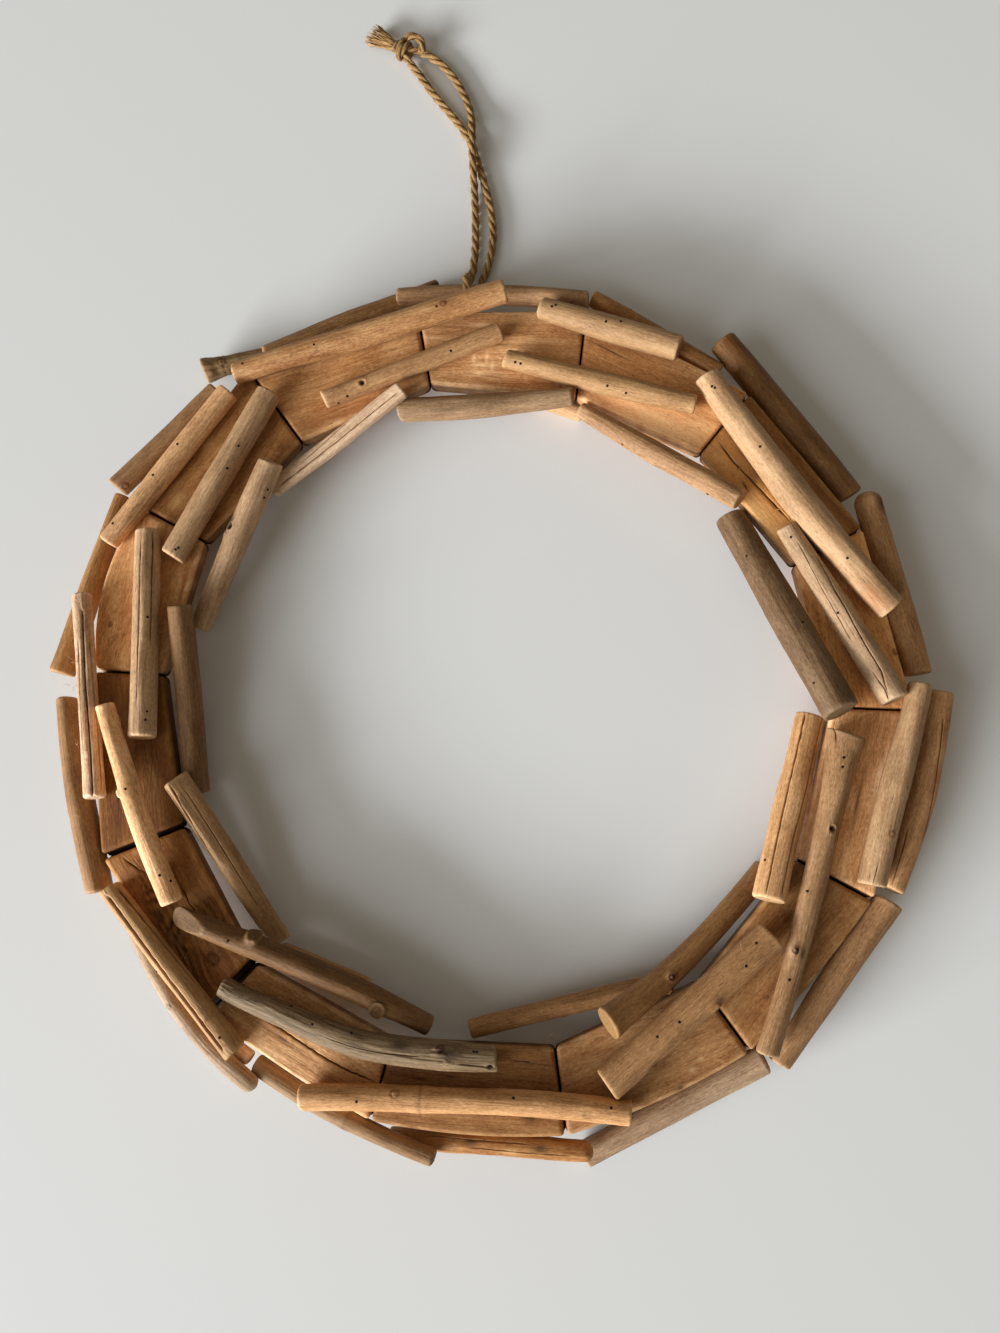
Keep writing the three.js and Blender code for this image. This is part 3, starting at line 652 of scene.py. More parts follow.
class Plank:
    """One plank: its four corners, its rings of places, and the marks on them."""

    def __init__(self, number):
        self.rng = np.random.default_rng(600 + number)
        self.looks = PLANK_MARKS[number]
        self.bulge = OUTER_BULGES.get(number, 0.0)
        before, after = number + PLANK_COUNT - 2, number + PLANK_COUNT - 1
        corners = [plank_corner(before, 0, 1), plank_corner(after, 0, -1),
                   plank_corner(before, 1, 1), plank_corner(after, 1, -1)]
        self.corners = corners
        self.openings = [JOINTS[joint % PLANK_COUNT][2] for joint in (before, after)]
        self.length = np.linalg.norm(corners[3] + corners[1] - corners[2] - corners[0]) / 2
        self.width = np.linalg.norm(corners[2] - corners[0])
        self.middle = (corners[0] + corners[1] + corners[2] + corners[3]) / 4
        self.along = unit((corners[1] + corners[3]) - (corners[0] + corners[2]))
        self.outwards = np.array([-self.along[1], self.along[0], 0.0])
        fine = np.linspace(0, 1, 241)
        grid_u, grid_v = np.meshgrid(fine, fine, indexing="ij")
        self.flat = self.places_at(grid_u, grid_v, 0.0, PLANK_TOP)
        self.cracks = [
            (crack_width, depth, *self.crack_line(pixels, fine))
            for crack_width, depth, pixels in self.looks.get("cracks", ())
        ]
        self.jitter = waves(self.rng, 5, 0.12)
        self.set_rings()
        self.plane_face()
        self.open_cracks()
        self.set_marks()
        self.wear_edges()

    def places_at(self, u, v, inset, height):
        """Places in the plank: u along it, v from its inner edge out, drawn in by inset."""
        inside, inside_end, outside, outside_end = self.corners
        swell = (self.bulge * 4 * u * (1 - u))[..., None]
        inner = inside + (inside_end - inside) * u[..., None]
        outer = outside + (outside_end - outside) * u[..., None]
        outer = outer + unit(outside + outside_end) * swell
        width = np.linalg.norm(outer - inner, axis=-1)
        share = inset / width + v * (1 - 2 * inset / width)
        place = inner + (outer - inner) * share[..., None]
        place[..., 2] = height
        return place

    def crack_line(self, pixels, fine):
        nodes = [nearest(self.flat, pixel) for pixel in pixels]
        u = np.array([fine[row] for row, column in nodes])
        v = np.array([fine[column] for row, column in nodes])
        return (u, v) if u[0] <= u[-1] else (u[::-1], v[::-1])

    def crack_at(self, u, crack_u, crack_v):
        return np.interp(u, crack_u, crack_v) + CRACK_WANDER * self.jitter(u)

    def cut_across(self, u, drawn):
        """The outline of a cut through the plank: x from its inner edge, z from its back."""
        pull = np.ones(len(ACROSS))
        for crack_width, depth, crack_u, crack_v in self.cracks:
            if crack_u[0] - 0.03 <= u <= crack_u[-1] + 0.03:
                v = self.crack_at(u, crack_u, crack_v)
                pull += CRACK_PULL * bell((ACROSS - v) * self.width, spread=0.9)
        radius = max(PLANK_EDGE - drawn, 0.12)
        room = self.width - 2 * drawn - 2 * radius
        tall = PLANK_THICKNESS - 2 * drawn - 2 * radius
        side = np.linspace(1, 0, SIDE_COLUMNS + 2)[1:-1] * tall
        start, end = radius * np.sin(QUARTER), radius * np.cos(QUARTER)
        x = np.concatenate([
            gathered(TOP_COLUMNS, ACROSS, pull) * room, room + start,
            np.full(SIDE_COLUMNS, room + radius), room + end,
            np.linspace(room, 0, BACK_COLUMNS), -start, np.full(SIDE_COLUMNS, -radius), -end,
        ])
        z = np.concatenate([
            np.full(TOP_COLUMNS, tall + radius), tall + end, side, -start,
            np.full(BACK_COLUMNS, -radius), -end, side[::-1], tall + start,
        ])
        return x + radius, z + radius, radius, tall

    def set_rings(self):
        """Each joint stands open at the front and closes about halfway down, the two planks
        overlapping there by a hair so that no light shows through."""
        length = self.length
        arris = np.array([0.0, 0.12, 0.35, 0.65, 1.0]) * PLANK_EDGE
        inner_u = np.linspace(PLANK_EDGE / length, 1 - PLANK_EDGE / length, PLANK_RINGS)
        stations = np.concatenate([arris[:-1] / length, inner_u, 1 - arris[:-1][::-1] / length])
        away = np.minimum(stations, 1 - stations) * length
        inset = PLANK_EDGE - np.sqrt(
            np.maximum(PLANK_EDGE ** 2 - np.maximum(PLANK_EDGE - away, 0) ** 2, 0))
        half_open = [opening / 2 * 1.03 + JOINT_OVERLAP for opening in self.openings]
        rings, painted_joint_shade, worn, painted_wall_shade = [], [], [], []
        for u, drawn in zip(stations, inset):
            x, z, radius, tall = self.cut_across(u, drawn)
            whole = self.width - 2 * drawn
            v = np.clip(x / whole, 0, 1)
            ring = self.places_at(np.full(len(v), u), v, drawn, 0.0)
            ring[:, 2] = z + drawn + PLANK_BACK
            above = ring[:, 2] - PLANK_BACK
            deep = np.clip((JOINT_SHUT - ring[:, 2]) / 1.5, 0, 1)
            deep = deep * np.clip(above / 1.5 - 0.2, 0, 1)
            wide = self.openings[int(u > 0.5)] > WIDE_JOINT
            painted_joint_shade.append(np.maximum(deep, wide * (ring[:, 2] < PLANK_TOP - 1.4)))
            shut = half_open[1] * max(1 - (1 - u) * length / 2, 0)
            shut -= half_open[0] * max(1 - u * length / 2, 0)
            rings.append(ring + self.along * (deep * shut)[:, None])
            rounded = np.minimum(np.minimum(x, whole - x), 4) < radius * 0.9
            worn.append(rounded & (z > tall * 0.5))
            painted_wall_shade.append((x < radius * 0.6) & (z < tall + radius * 1.3))
        self.rings = np.array(rings)
        self.columns = self.rings.shape[1]
        self.places = self.rings.reshape(-1, 3)
        self.is_top = self.places[:, 2] > PLANK_TOP - 0.4
        local = self.places - self.middle
        self.x, self.y = local @ self.along, local @ self.outwards
        self.worn = np.array(worn).ravel() | (np.repeat(inset, self.columns) > 0.25) & self.is_top
        self.marks = np.zeros((len(self.places), 3))
        # Painted shade in the joints: the walls down in each joint, and below the top edge of a
        # wide joint, are darkened near the plank's ends
        near_end = np.clip(2 - away / 1.5, 0, 1)[:, None]
        self.marks[:, DARK] = (np.array(painted_joint_shade) * near_end).ravel()
        # Painted shade on the planks' inner walls: darkened and reddened all round the ring
        self.marks[:, DARK] += np.array(painted_wall_shade).ravel() * 0.45
        self.marks[:, RED] += np.array(painted_wall_shade).ravel() * 0.6

    def plane_face(self):
        """The front isn't quite flat, and the plane has torn small patches of its grain."""
        rng, x, y = self.rng, self.x, self.y
        swell = waves(rng, 5, 34.0)(x + 3.0 * waves(rng, 3, 20.0)(y)) * 0.28
        self.lift = self.is_top * (swell + 0.16 * waves(rng, 5, 9.0)(y + 0.05 * x))
        torn = waves(rng, 7, 7.0)(x * 1.7 + 9 * waves(rng, 4, 5.0)(y))
        torn = np.clip((torn - 0.16) * 6, 0, 1) * np.clip(waves(rng, 4, 30.0)(x + y) * 5, 0, 1)
        self.lift -= self.is_top * torn * 0.12
        self.marks[:, PALE] += self.is_top * torn * 0.25

    def open_cracks(self):
        level = self.places[:, :2]
        for crack_width, depth, crack_u, crack_v in self.cracks:
            fine_u = np.linspace(crack_u[0], crack_u[-1], 40)
            fine_v = self.crack_at(fine_u, crack_u, crack_v)
            path = self.places_at(fine_u, fine_v, 0.0, 0.0)[:, :2]
            ends = np.minimum(np.linalg.norm(level - path[0], axis=1),
                              np.linalg.norm(level - path[-1], axis=1))
            fade = np.clip(ends / 6, 0.25, 1)
            wide = crack_width * (0.6 + 0.4 * fade)
            notch = bell(distance_to(level, path), spread=wide) * self.is_top * fade
            self.lift -= depth * notch
            # Painted shade down in the crack
            self.marks[:, DARK] += notch

    def set_marks(self):
        """The knots, stains and rubbed places that the photo shows, and the painted light on
        planks 3 and 4.
        """
        rng, x, y, is_top = self.rng, self.x, self.y, self.is_top
        for kind, pixel, size_along, size_across in self.looks.get("marks", ()):
            spot = self.flat[nearest(self.flat, pixel)] - self.middle
            dx = (x - spot @ self.along) / (size_along / 2)
            dy = y - spot @ self.outwards + 0.4 * waves(rng, 4, 12.0)(x)
            far = np.sqrt(dx ** 2 + (dy / (size_across / 2)) ** 2)
            near = bell(far) * is_top
            if kind == "knot":
                ring_line = bell(far, 1.0, 0.28) * is_top
                self.marks[:, DARK] += 0.55 * ring_line + 0.25 * near
                self.marks[:, RED] += bell(far, spread=1.3) * is_top
                self.lift += 0.15 * near - 0.25 * ring_line
            elif kind == "streak":
                stripes = waves(rng, 8, 3.2)(y + 0.5 * waves(rng, 3, 40.0)(x) * 4) * 2.6 + 0.45
                self.marks[:, DARK] += near * np.clip(stripes, 0, 1) * 0.75
            else:
                self.marks[:, MARKS[kind]] += near * (0.8 if kind == "dark" else 0.9)
                self.lift -= 0.25 * near if kind == "dark" else 0

    def wear_edges(self):
        self.places[:, 2] += self.lift
        rubbed = 0.35 + 0.5 * waves(self.rng, 5, 16.0)(self.x + self.y)
        self.marks[:, PALE] += self.worn * rubbed
        inner_edge = np.clip(1 - (self.y + self.width / 2) / 4, 0, 1)
        self.marks[:, RED] += (self.is_top * inner_edge) * 0.35

    def piece(self, name):
        """The rings run the other way round in the piece, so that its skin faces outwards."""
        rng, x, columns = self.rng, self.x, self.columns
        wear = np.zeros((len(self.places), 3))
        wear[:columns, SAWN] = wear[-columns:, SAWN] = 1
        wear[:, TONE] = self.looks["tone"]
        wear[:, WARMTH] = self.looks.get("warmth", 0.0)
        offset = np.array([rng.uniform(0, 900), rng.uniform(0, 90), rng.uniform(20, 90)])
        grain = np.column_stack([x, self.y, self.places[:, 2]]) + offset
        core = PLANK_BACK + PLANK_THICKNESS / 2
        grain_ends = np.array([[x.min(), 0, core], [x.max(), 0, core]]) + offset
        blocks = []
        # The middles of the sawn end faces are marked dark: painted shade down in the joints
        for values, ends in ((grain, grain_ends), (np.clip(self.marks, 0, 1), [[0.9, 0, 0]] * 2),
                             (wear, [[1, *wear[0, 1:]]] * 2)):
            turned = values.reshape(-1, columns, 3)[:, ::-1].reshape(-1, 3)
            blocks.append(np.vstack([turned, ends]))
        ends = np.array([self.rings[0].mean(0), self.rings[-1].mean(0)])
        skin = Skin()
        skin.tube(self.rings[:, ::-1], ends, *blocks)
        return skin.piece(name, PLANK_WOOD)


for number in range(1, PLANK_COUNT + 1):
    name = f"plank_{number:02d}"
    piece = Plank(number).piece(name + "_board")
    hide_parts(name)


# Front sticks: eighteen lengths of driftwood, bare and rubbed smooth, sawn off at both ends
# and nailed over the planks. Each row starts with the two ends of the stick's middle line and
# its thickness along that line.
STRAW = wood("straw_driftwood", (
    (0.0, (150, 114, 80)), (0.35, (184, 145, 107)), (0.65, (206, 166, 126)),
    (1.0, (226, 190, 150)),
), stain=(176, 114, 66))
HONEY = wood("honey_driftwood", (
    (0.0, (140, 98, 60)), (0.35, (175, 129, 84)), (0.65, (198, 150, 104)), (1.0, (220, 177, 134)),
), stain=(150, 92, 50))
TAN = wood("tan_driftwood", (
    (0.0, (127, 90, 58)), (0.35, (162, 121, 84)), (0.65, (185, 143, 102)), (1.0, (208, 168, 128)),
), stain=(146, 88, 48))
BROWN = wood("brown_driftwood", (
    (0.0, (102, 70, 42)), (0.35, (138, 100, 64)), (0.65, (162, 122, 82)), (1.0, (188, 150, 106)),
))
ORANGE = wood("orange_driftwood", (
    (0.0, (128, 80, 42)), (0.35, (168, 114, 66)), (0.65, (192, 140, 88)), (1.0, (214, 170, 118)),
))
GREY = wood("grey_driftwood", (
    (0.0, (97, 76, 56)), (0.35, (135, 110, 84)), (0.65, (162, 135, 106)), (1.0, (193, 165, 134)),
), weathered=0.6)
ASH = wood("ashen_driftwood", (
    (0.0, (122, 95, 72)), (0.35, (156, 124, 96)), (0.65, (179, 146, 116)), (1.0, (204, 173, 142)),
), weathered=0.2)

STICK_COLUMNS, STICK_STEP = 52, 1.25
RIM, RIM_REACH = 1.3, 3.2
RIM_STEPS = np.array([0.0, 0.1, 0.3, 0.6, 0.95, 1.35, 1.8, 2.4])
# A stick's section: its broad lobes and their heights, and its fine flutes
LOBES = ((2, 0.030), (3, 0.018), (5, 0.010), (7, 0.007))
FLUTES = range(9, 22, 2)
CAP_SHARES = (0.94, 0.82, 0.62, 0.40, 0.18)
# What makes each kind of knot: rises in its own radii, lifts in millimetres, and marks. Each
# has its amount, then its middle, width and steepness as rings round the knot's own middle.
KNOT_RINGS = {
    # A hole's inside is painted fully dark: painted shade
    "hole": (("rise", -1.1, 0, 1, 4), (DARK, 1, 0, 1.05, 4), ("lift", 0.35, 1.5, 0.5, 2)),
    "bump": (("rise", 0.34, 0, 0.95, 2), (DARK, 0.35, 0.55, 0.2, 2), (RED, 0.5, 0, 1, 2),
             ("lift", -0.1, 0.55, 0.2, 2)),
    "ring": (("rise", 0.16, 0, 1.3, 2), (DARK, 0.5, 0.8, 0.22, 2), (RED, 0.6, 0, 1, 2),
             ("lift", -0.22, 0.8, 0.22, 2)),
    "dent": (("rise", -0.3, 0, 1, 2), (DARK, 0.35, 0.8, 0.4, 2)),
    "nub": (("rise", 0.16, 0, 1.9, 2), (PALE, 0.55, 0.86, 0.16, 2), (RED, 0.30, 0, 0.7, 4),
            (DARK, 0.40, 1.2, 0.16, 2), (DARK, 0.30, 0.55, 0.1, 2), (DARK, 0.30, 0, 0.16, 2)),
    "spot": ((DARK, 0.75, 0, 1, 2),),
}


def stick_line(row):
    """The middle line of a stick, and how far along it each place lies."""
    start, finish = np.array(row["start"], float), np.array(row["end"], float)
    run = finish - start
    outwards = unit(np.array([-run[1], run[0], 0.0]))
    if outwards @ (start + finish) < 0:
        outwards = -outwards
    control = (start + finish) / 2 + 2 * outwards * row.get("bow", 0.0)
    share = np.linspace(0, 1, 161)[:, None]
    curve = (1 - share) ** 2 * start + 2 * share * (1 - share) * control + share ** 2 * finish
    return even_steps(curve, 161)


def stick_sides(forwards):
    sides = unit(np.cross(forwards, UP))
    return sides, np.cross(sides, forwards)


def wrapped(angle):
    return (angle + math.pi) % (2 * math.pi) - math.pi


def with_caps(first, values, last):
    """The numbers of a stick's rings, with those of its two caps before and after them."""
    return np.concatenate([first[::-1], values, last])


class Stick:
    """One stick: its middle line, its height above that line all round, and its marks."""

    def __init__(self, row):
        self.row = row
        self.rng = np.random.default_rng(row["seed"])
        self.line, self.reached = stick_line(row)
        self.length = self.reached[-1]
        self.find_seen()
        self.cracks = [self.crack_line(*crack) for crack in row.get("cracks", ())]
        self.set_stations()
        self.set_angles()
        self.marks = np.zeros(self.angle.shape + (3,))
        self.wear = np.zeros(self.angle.shape + (3,))
        self.grow()
        self.open_cracks()
        for knot in row.get("knots", ()):
            self.add_knot(*knot)
        self.add_nodes()
        self.wear_rims()
        self.set_rings()
        if "slice" in row:
            self.slice_end(*row["slice"])
        self.saw_ends()
        self.set_caps()

    def widths(self, s):
        girth = self.row["girth"]
        return np.interp(s / self.length, np.linspace(0, 1, len(girth)), girth) / 2

    def from_end(self, end):
        return self.stations if end == 0 else self.length - self.stations

    def find_seen(self):
        """Where the plain stick's skin is seen in the photo, for placing its marks."""
        self.fine_s = np.linspace(0, self.length, 260)
        self.fine_t = np.linspace(0, 2 * math.pi, 144, endpoint=False)
        base = along_line(self.line, self.reached, self.fine_s)
        side, over = stick_sides(unit(np.gradient(base, axis=0)))
        out = (np.cos(self.fine_t)[None, :, None] * side[:, None]
               + np.sin(self.fine_t)[None, :, None] * over[:, None])
        shell = base[:, None] + self.widths(self.fine_s)[:, None, None] * out
        self.seen = photo_pixels(shell)
        self.seen[((EYE - shell) * out).sum(-1) < 0] = -1e6

    def place_of(self, pixel):
        """How far along the stick, and how far round it, a pixel of the photo lies."""
        missed = np.linalg.norm(self.seen - np.array(pixel), axis=-1)
        i, j = np.unravel_index(np.argmin(missed), missed.shape)
        return self.fine_s[i], self.fine_t[j]

    def crack_line(self, crack_width, depth, pixels):
        nodes = np.array([self.place_of(pixel) for pixel in pixels])
        nodes[:, 1] = np.unwrap(nodes[:, 1])
        nodes = nodes[np.argsort(nodes[:, 0])]
        return crack_width, depth, nodes[:, 0], nodes[:, 1], waves(self.rng, 4, 16.0)

    def set_stations(self):
        """Steps along the stick, shorter beside its knots and twig stumps."""
        row, length = self.row, self.length
        self.stands = [(*self.place_of(pixel), size) for kind, pixel, size in row.get("knots", ())
                       if kind in ("nub", "bump", "ring", "hole")]
        fine = np.linspace(RIM_REACH, length - RIM_REACH, 400)
        pull = np.ones(len(fine))
        count = max(20, round((length - 2 * RIM_REACH) / STICK_STEP))
        for at_s, at_t, size in self.stands:
            pull += 2.0 * bell(fine, at_s, 1.5 * size)
            count += round(3.5 * size)
        between = gathered(count, fine, pull)
        self.stations = np.concatenate([RIM_STEPS, between, length - RIM_STEPS[::-1]])
        self.middle = along_line(self.line, self.reached, self.stations)
        sway, heave = waves(self.rng, 4, 150.0), waves(self.rng, 4, 150.0)
        forwards = unit(np.gradient(self.line, axis=0))
        self.forwards = unit(along_line(forwards, self.reached, self.stations))
        self.sides, self.overs = stick_sides(self.forwards)
        amount = row.get("sway", 0.5)
        self.middle = self.middle + self.sides * (sway(self.stations) * amount)[:, None]
        self.middle = self.middle + self.overs * (heave(self.stations) * amount * 0.5)[:, None]
        self.radius = self.widths(self.stations)

    def set_angles(self):
        """Steps round the stick, shorter across its cracks and knots."""
        self.columns = self.row.get("columns", STICK_COLUMNS)
        grid = np.linspace(0, 2 * math.pi, 361)
        start_turn = -math.pi / 2
        self.angle = np.empty((len(self.stations), self.columns))
        for i, s in enumerate(self.stations):
            pull = np.ones(len(grid))
            for crack_width, depth, nodes, turns, wander in self.cracks:
                active = np.clip((s - nodes[0] + 6) / 6, 0, 1)
                active = active * np.clip((nodes[-1] + 6 - s) / 6, 0, 1)
                at = np.interp(s, nodes, turns) + wander(s) * 0.02
                off = wrapped(grid + start_turn - at) * self.radius[i]
                pull += active * CRACK_PULL * bell(off, spread=0.6)
            for at_s, at_t, size in self.stands:
                near = math.exp(-((s - at_s) / (1.7 * size)) ** 2)
                off = wrapped(grid + start_turn - at_t) * self.radius[i]
                pull += near * 3.0 * bell(off, spread=1.5 * size)
            self.angle[i] = gathered(self.columns + 1, grid, pull)[:-1] + start_turn

    def grow(self):
        """Swellings, flats and fine flutes: no stick is a plain cylinder."""
        rng, row, stations, angle = self.rng, self.row, self.stations, self.angle
        swell = 1 + 0.03 * waves(rng, 4, 110.0)(stations)
        swell = swell + 0.006 * waves(rng, 4, 14.0)(stations)
        shape = np.zeros_like(angle)
        for lobes, size in LOBES:
            drift = waves(rng, 3, 120.0)(stations)[:, None] * 2.0
            amount = size * rng.uniform(0.6, 1.3)
            shape += amount * np.cos(lobes * angle + rng.uniform(0, 6.3) + drift)
        flutes = np.zeros_like(angle)
        for lobes in FLUTES:
            drift = waves(rng, 3, 60.0)(stations)[:, None] * 3.0
            flutes += np.cos(lobes * angle + rng.uniform(0, 6.3) + drift) * rng.uniform(0.4, 1)
        flutes *= row.get("flutes", 0.022)
        self.height = self.radius[:, None] * swell[:, None] * (1 + shape) + flutes
        for turn, share in row.get("flats", ()):
            facing = np.cos(wrapped(angle - math.radians(turn)))
            limit = self.radius[:, None] * share / np.maximum(facing, 0.05)
            self.height = np.where(facing > 0.05, np.minimum(self.height, limit), self.height)

    def open_cracks(self):
        stations = self.stations
        for crack_width, depth, nodes, turns, wander in self.cracks:
            at = np.interp(stations, nodes, turns) + wander(stations) * 0.02
            far = wrapped(self.angle - at[:, None]) * self.radius[:, None]
            fade = np.clip((stations - nodes[0]) / 3 + 0.4, 0, 1)
            fade = fade * np.clip((nodes[-1] - stations) / 3 + 0.4, 0, 1)
            fade = (fade * (0.8 + 0.5 * waves(self.rng, 4, 12.0)(stations)))[:, None]
            self.height -= depth * (bell(far, spread=crack_width) * fade)
            # Painted shade down in the crack, with a reddish stain beside it
            self.marks[..., DARK] += bell(far, spread=crack_width * 0.8) * fade * 0.85
            self.marks[..., RED] += bell(far, spread=crack_width * 2.2) * fade * 0.3

    def add_knot(self, kind, pixel, size):
        at_s, at_t = self.place_of(pixel)
        dx = self.stations[:, None] - at_s
        dy = wrapped(self.angle - at_t) * self.radius[:, None]
        if kind in MARKS:
            long = np.sqrt((dx / 2.2) ** 2 + dy ** 2) / size
            self.marks[..., MARKS[kind]] += 0.8 * bell(long)
            return
        far = np.sqrt(dx ** 2 + dy ** 2) / size
        if kind == "nub":
            stump = 1 / (1 + np.exp((far - 1.0) * 11))
            sawn_off = 1 + 0.08 * np.cos(3 * np.arctan2(dy, dx))
            self.height += size * 0.55 * stump * sawn_off
        for layer, amount, centre, spread, power in KNOT_RINGS[kind]:
            ring_line = bell(far, centre, spread, power)
            if layer == "rise":
                self.height += amount * size * ring_line
            elif layer == "lift":
                self.height += amount * ring_line
            else:
                self.marks[..., layer] += amount * ring_line

    def add_nodes(self):
        """Swollen joints that run right round the stick, each with a dark groove."""
        for share, size in self.row.get("nodes", ()):
            far = (self.stations - share * self.length) / size
            self.height += (0.30 * bell(far) - 0.22 * bell(far, spread=0.25))[:, None]
            self.marks[..., DARK] += (0.4 * bell(far, spread=0.22))[:, None]

    def wear_rims(self):
        """The rims of the sawn ends are rubbed round and pale, or wholly round."""
        rng, row, angle, radius = self.rng, self.row, self.angle, self.radius
        from_end = np.minimum(self.stations, self.length - self.stations)
        inside = 1 - np.clip(from_end / RIM, 0, 1)
        drop = RIM * 0.62 * (1 - np.sqrt(np.clip(1 - inside ** 2, 0, 1)))
        ragged = 1 + 0.35 * np.cos(3 * angle + rng.uniform(0, 6.3)) * 0.5
        self.height = self.height - drop[:, None] * ragged
        for end in row.get("rounded", ()):
            close = np.clip(1 - self.from_end(end) / (radius * 0.9), 0, 1)
            self.height = self.height * np.sqrt(np.clip(1 - 0.85 * close ** 2, 0.05, 1))[:, None]
        around = angle * radius[:, None]
        pale = bell(from_end, spread=1.6)[:, None] * (0.55 + 0.6 * waves(rng, 5, 5.0)(around))
        self.marks[..., PALE] += np.clip(pale, 0, 1) * row.get("rim", 0.8)
        if "flare" in row:
            end, size, reach = row["flare"]
            flare = size * bell(self.from_end(end), spread=reach)
            self.height = self.height + flare[:, None]

    def set_rings(self):
        self.rings = self.middle[:, None] + self.height[..., None] * (
            np.cos(self.angle)[..., None] * self.sides[:, None]
            + np.sin(self.angle)[..., None] * self.overs[:, None])

    def slice_end(self, end, turn, reach, share):
        """A long slanted knife cut: what stands above its plane is pressed down onto it."""
        turn = math.radians(turn)
        away = self.from_end(end)
        limit = self.radius * (share + (1.1 - share) * np.clip(away / reach, 0, 1))
        stands_out = self.height * np.cos(self.angle - turn)
        over_cut = np.maximum(stands_out - limit[:, None], 0)
        up = math.cos(turn) * self.sides + math.sin(turn) * self.overs
        self.rings = self.rings - over_cut[..., None] * up[:, None]
        self.wear[..., SAWN] = np.clip(over_cut / 0.25, 0, 1) * 0.8
        edge = bell(stands_out - limit[:, None], spread=0.35) * (away < reach)[:, None]
        self.marks[..., PALE] += 0.8 * edge

    def saw_ends(self):
        """No saw cut is quite square to its stick."""
        slants = [(self.rng.uniform(-0.12, 0.12), self.rng.uniform(-0.12, 0.12))
                  for end in (0, 1)]
        for end, (sideways, upwards) in enumerate(slants):
            hold = np.clip(1 - self.from_end(end) / 9, 0, 1)[:, None]
            slant = sideways * np.cos(self.angle) + upwards * np.sin(self.angle)
            shift = slant * self.height
            self.rings = self.rings + (shift * hold)[..., None] * self.forwards[:, None]

    def set_caps(self):
        """The sawn faces: rings that shrink towards a pole, a little rough and domed."""
        self.caps, self.poles = [], []
        for index, sign in ((0, -1), (-1, 1)):
            rim_ring = self.rings[index]
            centre = rim_ring.mean(0)
            cap = []
            for share in CAP_SHARES:
                rough = self.rng.normal(0, 0.05, self.columns) + sign * 0.10 * (1 - share ** 6)
                flat = centre + (rim_ring - centre) * share
                cap.append(flat + self.forwards[index] * rough[:, None])
            self.caps.append(np.array(cap))
            self.poles.append(centre + self.forwards[index] * sign * 0.1)

    def grain(self):
        """Places in the wood's own directions, from which its figure is worked out."""
        rng, height = self.rng, self.height
        away = rng.uniform(0, 4000, 3)
        off_centre = rng.uniform(-1.2, 1.2, 2)
        along = self.stations[:, None]
        spin = self.angle + rng.uniform(-0.004, 0.004) * along
        grain = np.stack([
            np.repeat(along, self.columns, 1) + away[0],
            height * np.cos(spin) + off_centre[0], height * np.sin(spin) + off_centre[1],
        ], axis=-1)
        cap_grain = []
        for cap, pole, index in zip(self.caps, self.poles, (0, -1)):
            flat = cap - pole
            cap_grain.append(np.stack([
                np.full(cap.shape[:2], self.stations[index] + away[0]),
                flat @ self.sides[index] + off_centre[0],
                flat @ self.overs[index] + off_centre[1],
            ], axis=-1))
        grain = with_caps(cap_grain[0], grain, cap_grain[1]).reshape(-1, 3)
        pole_grain = [[away[0], *off_centre], [away[0] + self.length, *off_centre]]
        return np.vstack([grain, pole_grain])

    def piece(self, name):
        row = self.row
        blank = np.zeros((len(CAP_SHARES), self.columns, 3))
        sawn = blank.copy()
        sawn[..., SAWN] = 1
        wear = with_caps(sawn, self.wear, sawn).reshape(-1, 3)
        wear = np.vstack([wear, [[1, 0, 0]] * 2])
        wear[:, TONE] = row.get("tone", 0.0)
        wear[:, WARMTH] = row.get("warmth", 0.0)
        cap_marks = []
        for darkness in row.get("dark_ends", (0.0, 0.0)):
            cap_marks.append(blank.copy())
            cap_marks[-1][..., DARK] = darkness
            cap_marks[-1][..., PALE] = 0.25
        marks = with_caps(cap_marks[0], self.marks, cap_marks[1]).reshape(-1, 3)
        marks = np.vstack([marks, [[0, 0, 0]] * 2])
        self.rings = with_caps(self.caps[0], self.rings, self.caps[1])
        # The lowest ends are rubbed flat where the wreath stands on them
        self.rings[..., 2] = np.maximum(self.rings[..., 2], 0.0)
        skin = Skin()
        skin.tube(self.rings, np.array(self.poles), self.grain(), np.clip(marks, 0, 1), wear)
        return skin.piece(name, row["wood"])

    def nails(self):
        """Where each nail's head lies on the finished skin, and the way out of the wood."""
        found = []
        for pixel in self.row.get("nails", ()):
            at_s, at_t = self.place_of(pixel)
            i = int(np.argmin(np.abs(self.stations - at_s)))
            j = int(np.argmin(np.abs(wrapped(self.angle[i] - at_t))))
            outwards = math.cos(at_t) * self.sides[i] + math.sin(at_t) * self.overs[i]
            found.append((self.rings[i + len(CAP_SHARES), j], outwards))
        return found


def make_sticks(name, rows, seed):
    """Makes each row's stick, and gives back the places of its nails."""
    nails = []
    for number, row in enumerate(rows, 1):
        row["seed"] = seed + number
        node = f"{name}_{number:02d}"
        made = Stick(row)
        piece = made.piece(node + "_wood")
        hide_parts(node)
        nails += made.nails()
    return nails


def stick(start, end, girth, wood, **more):
    return dict(start=start, end=end, girth=girth, wood=wood, **more)


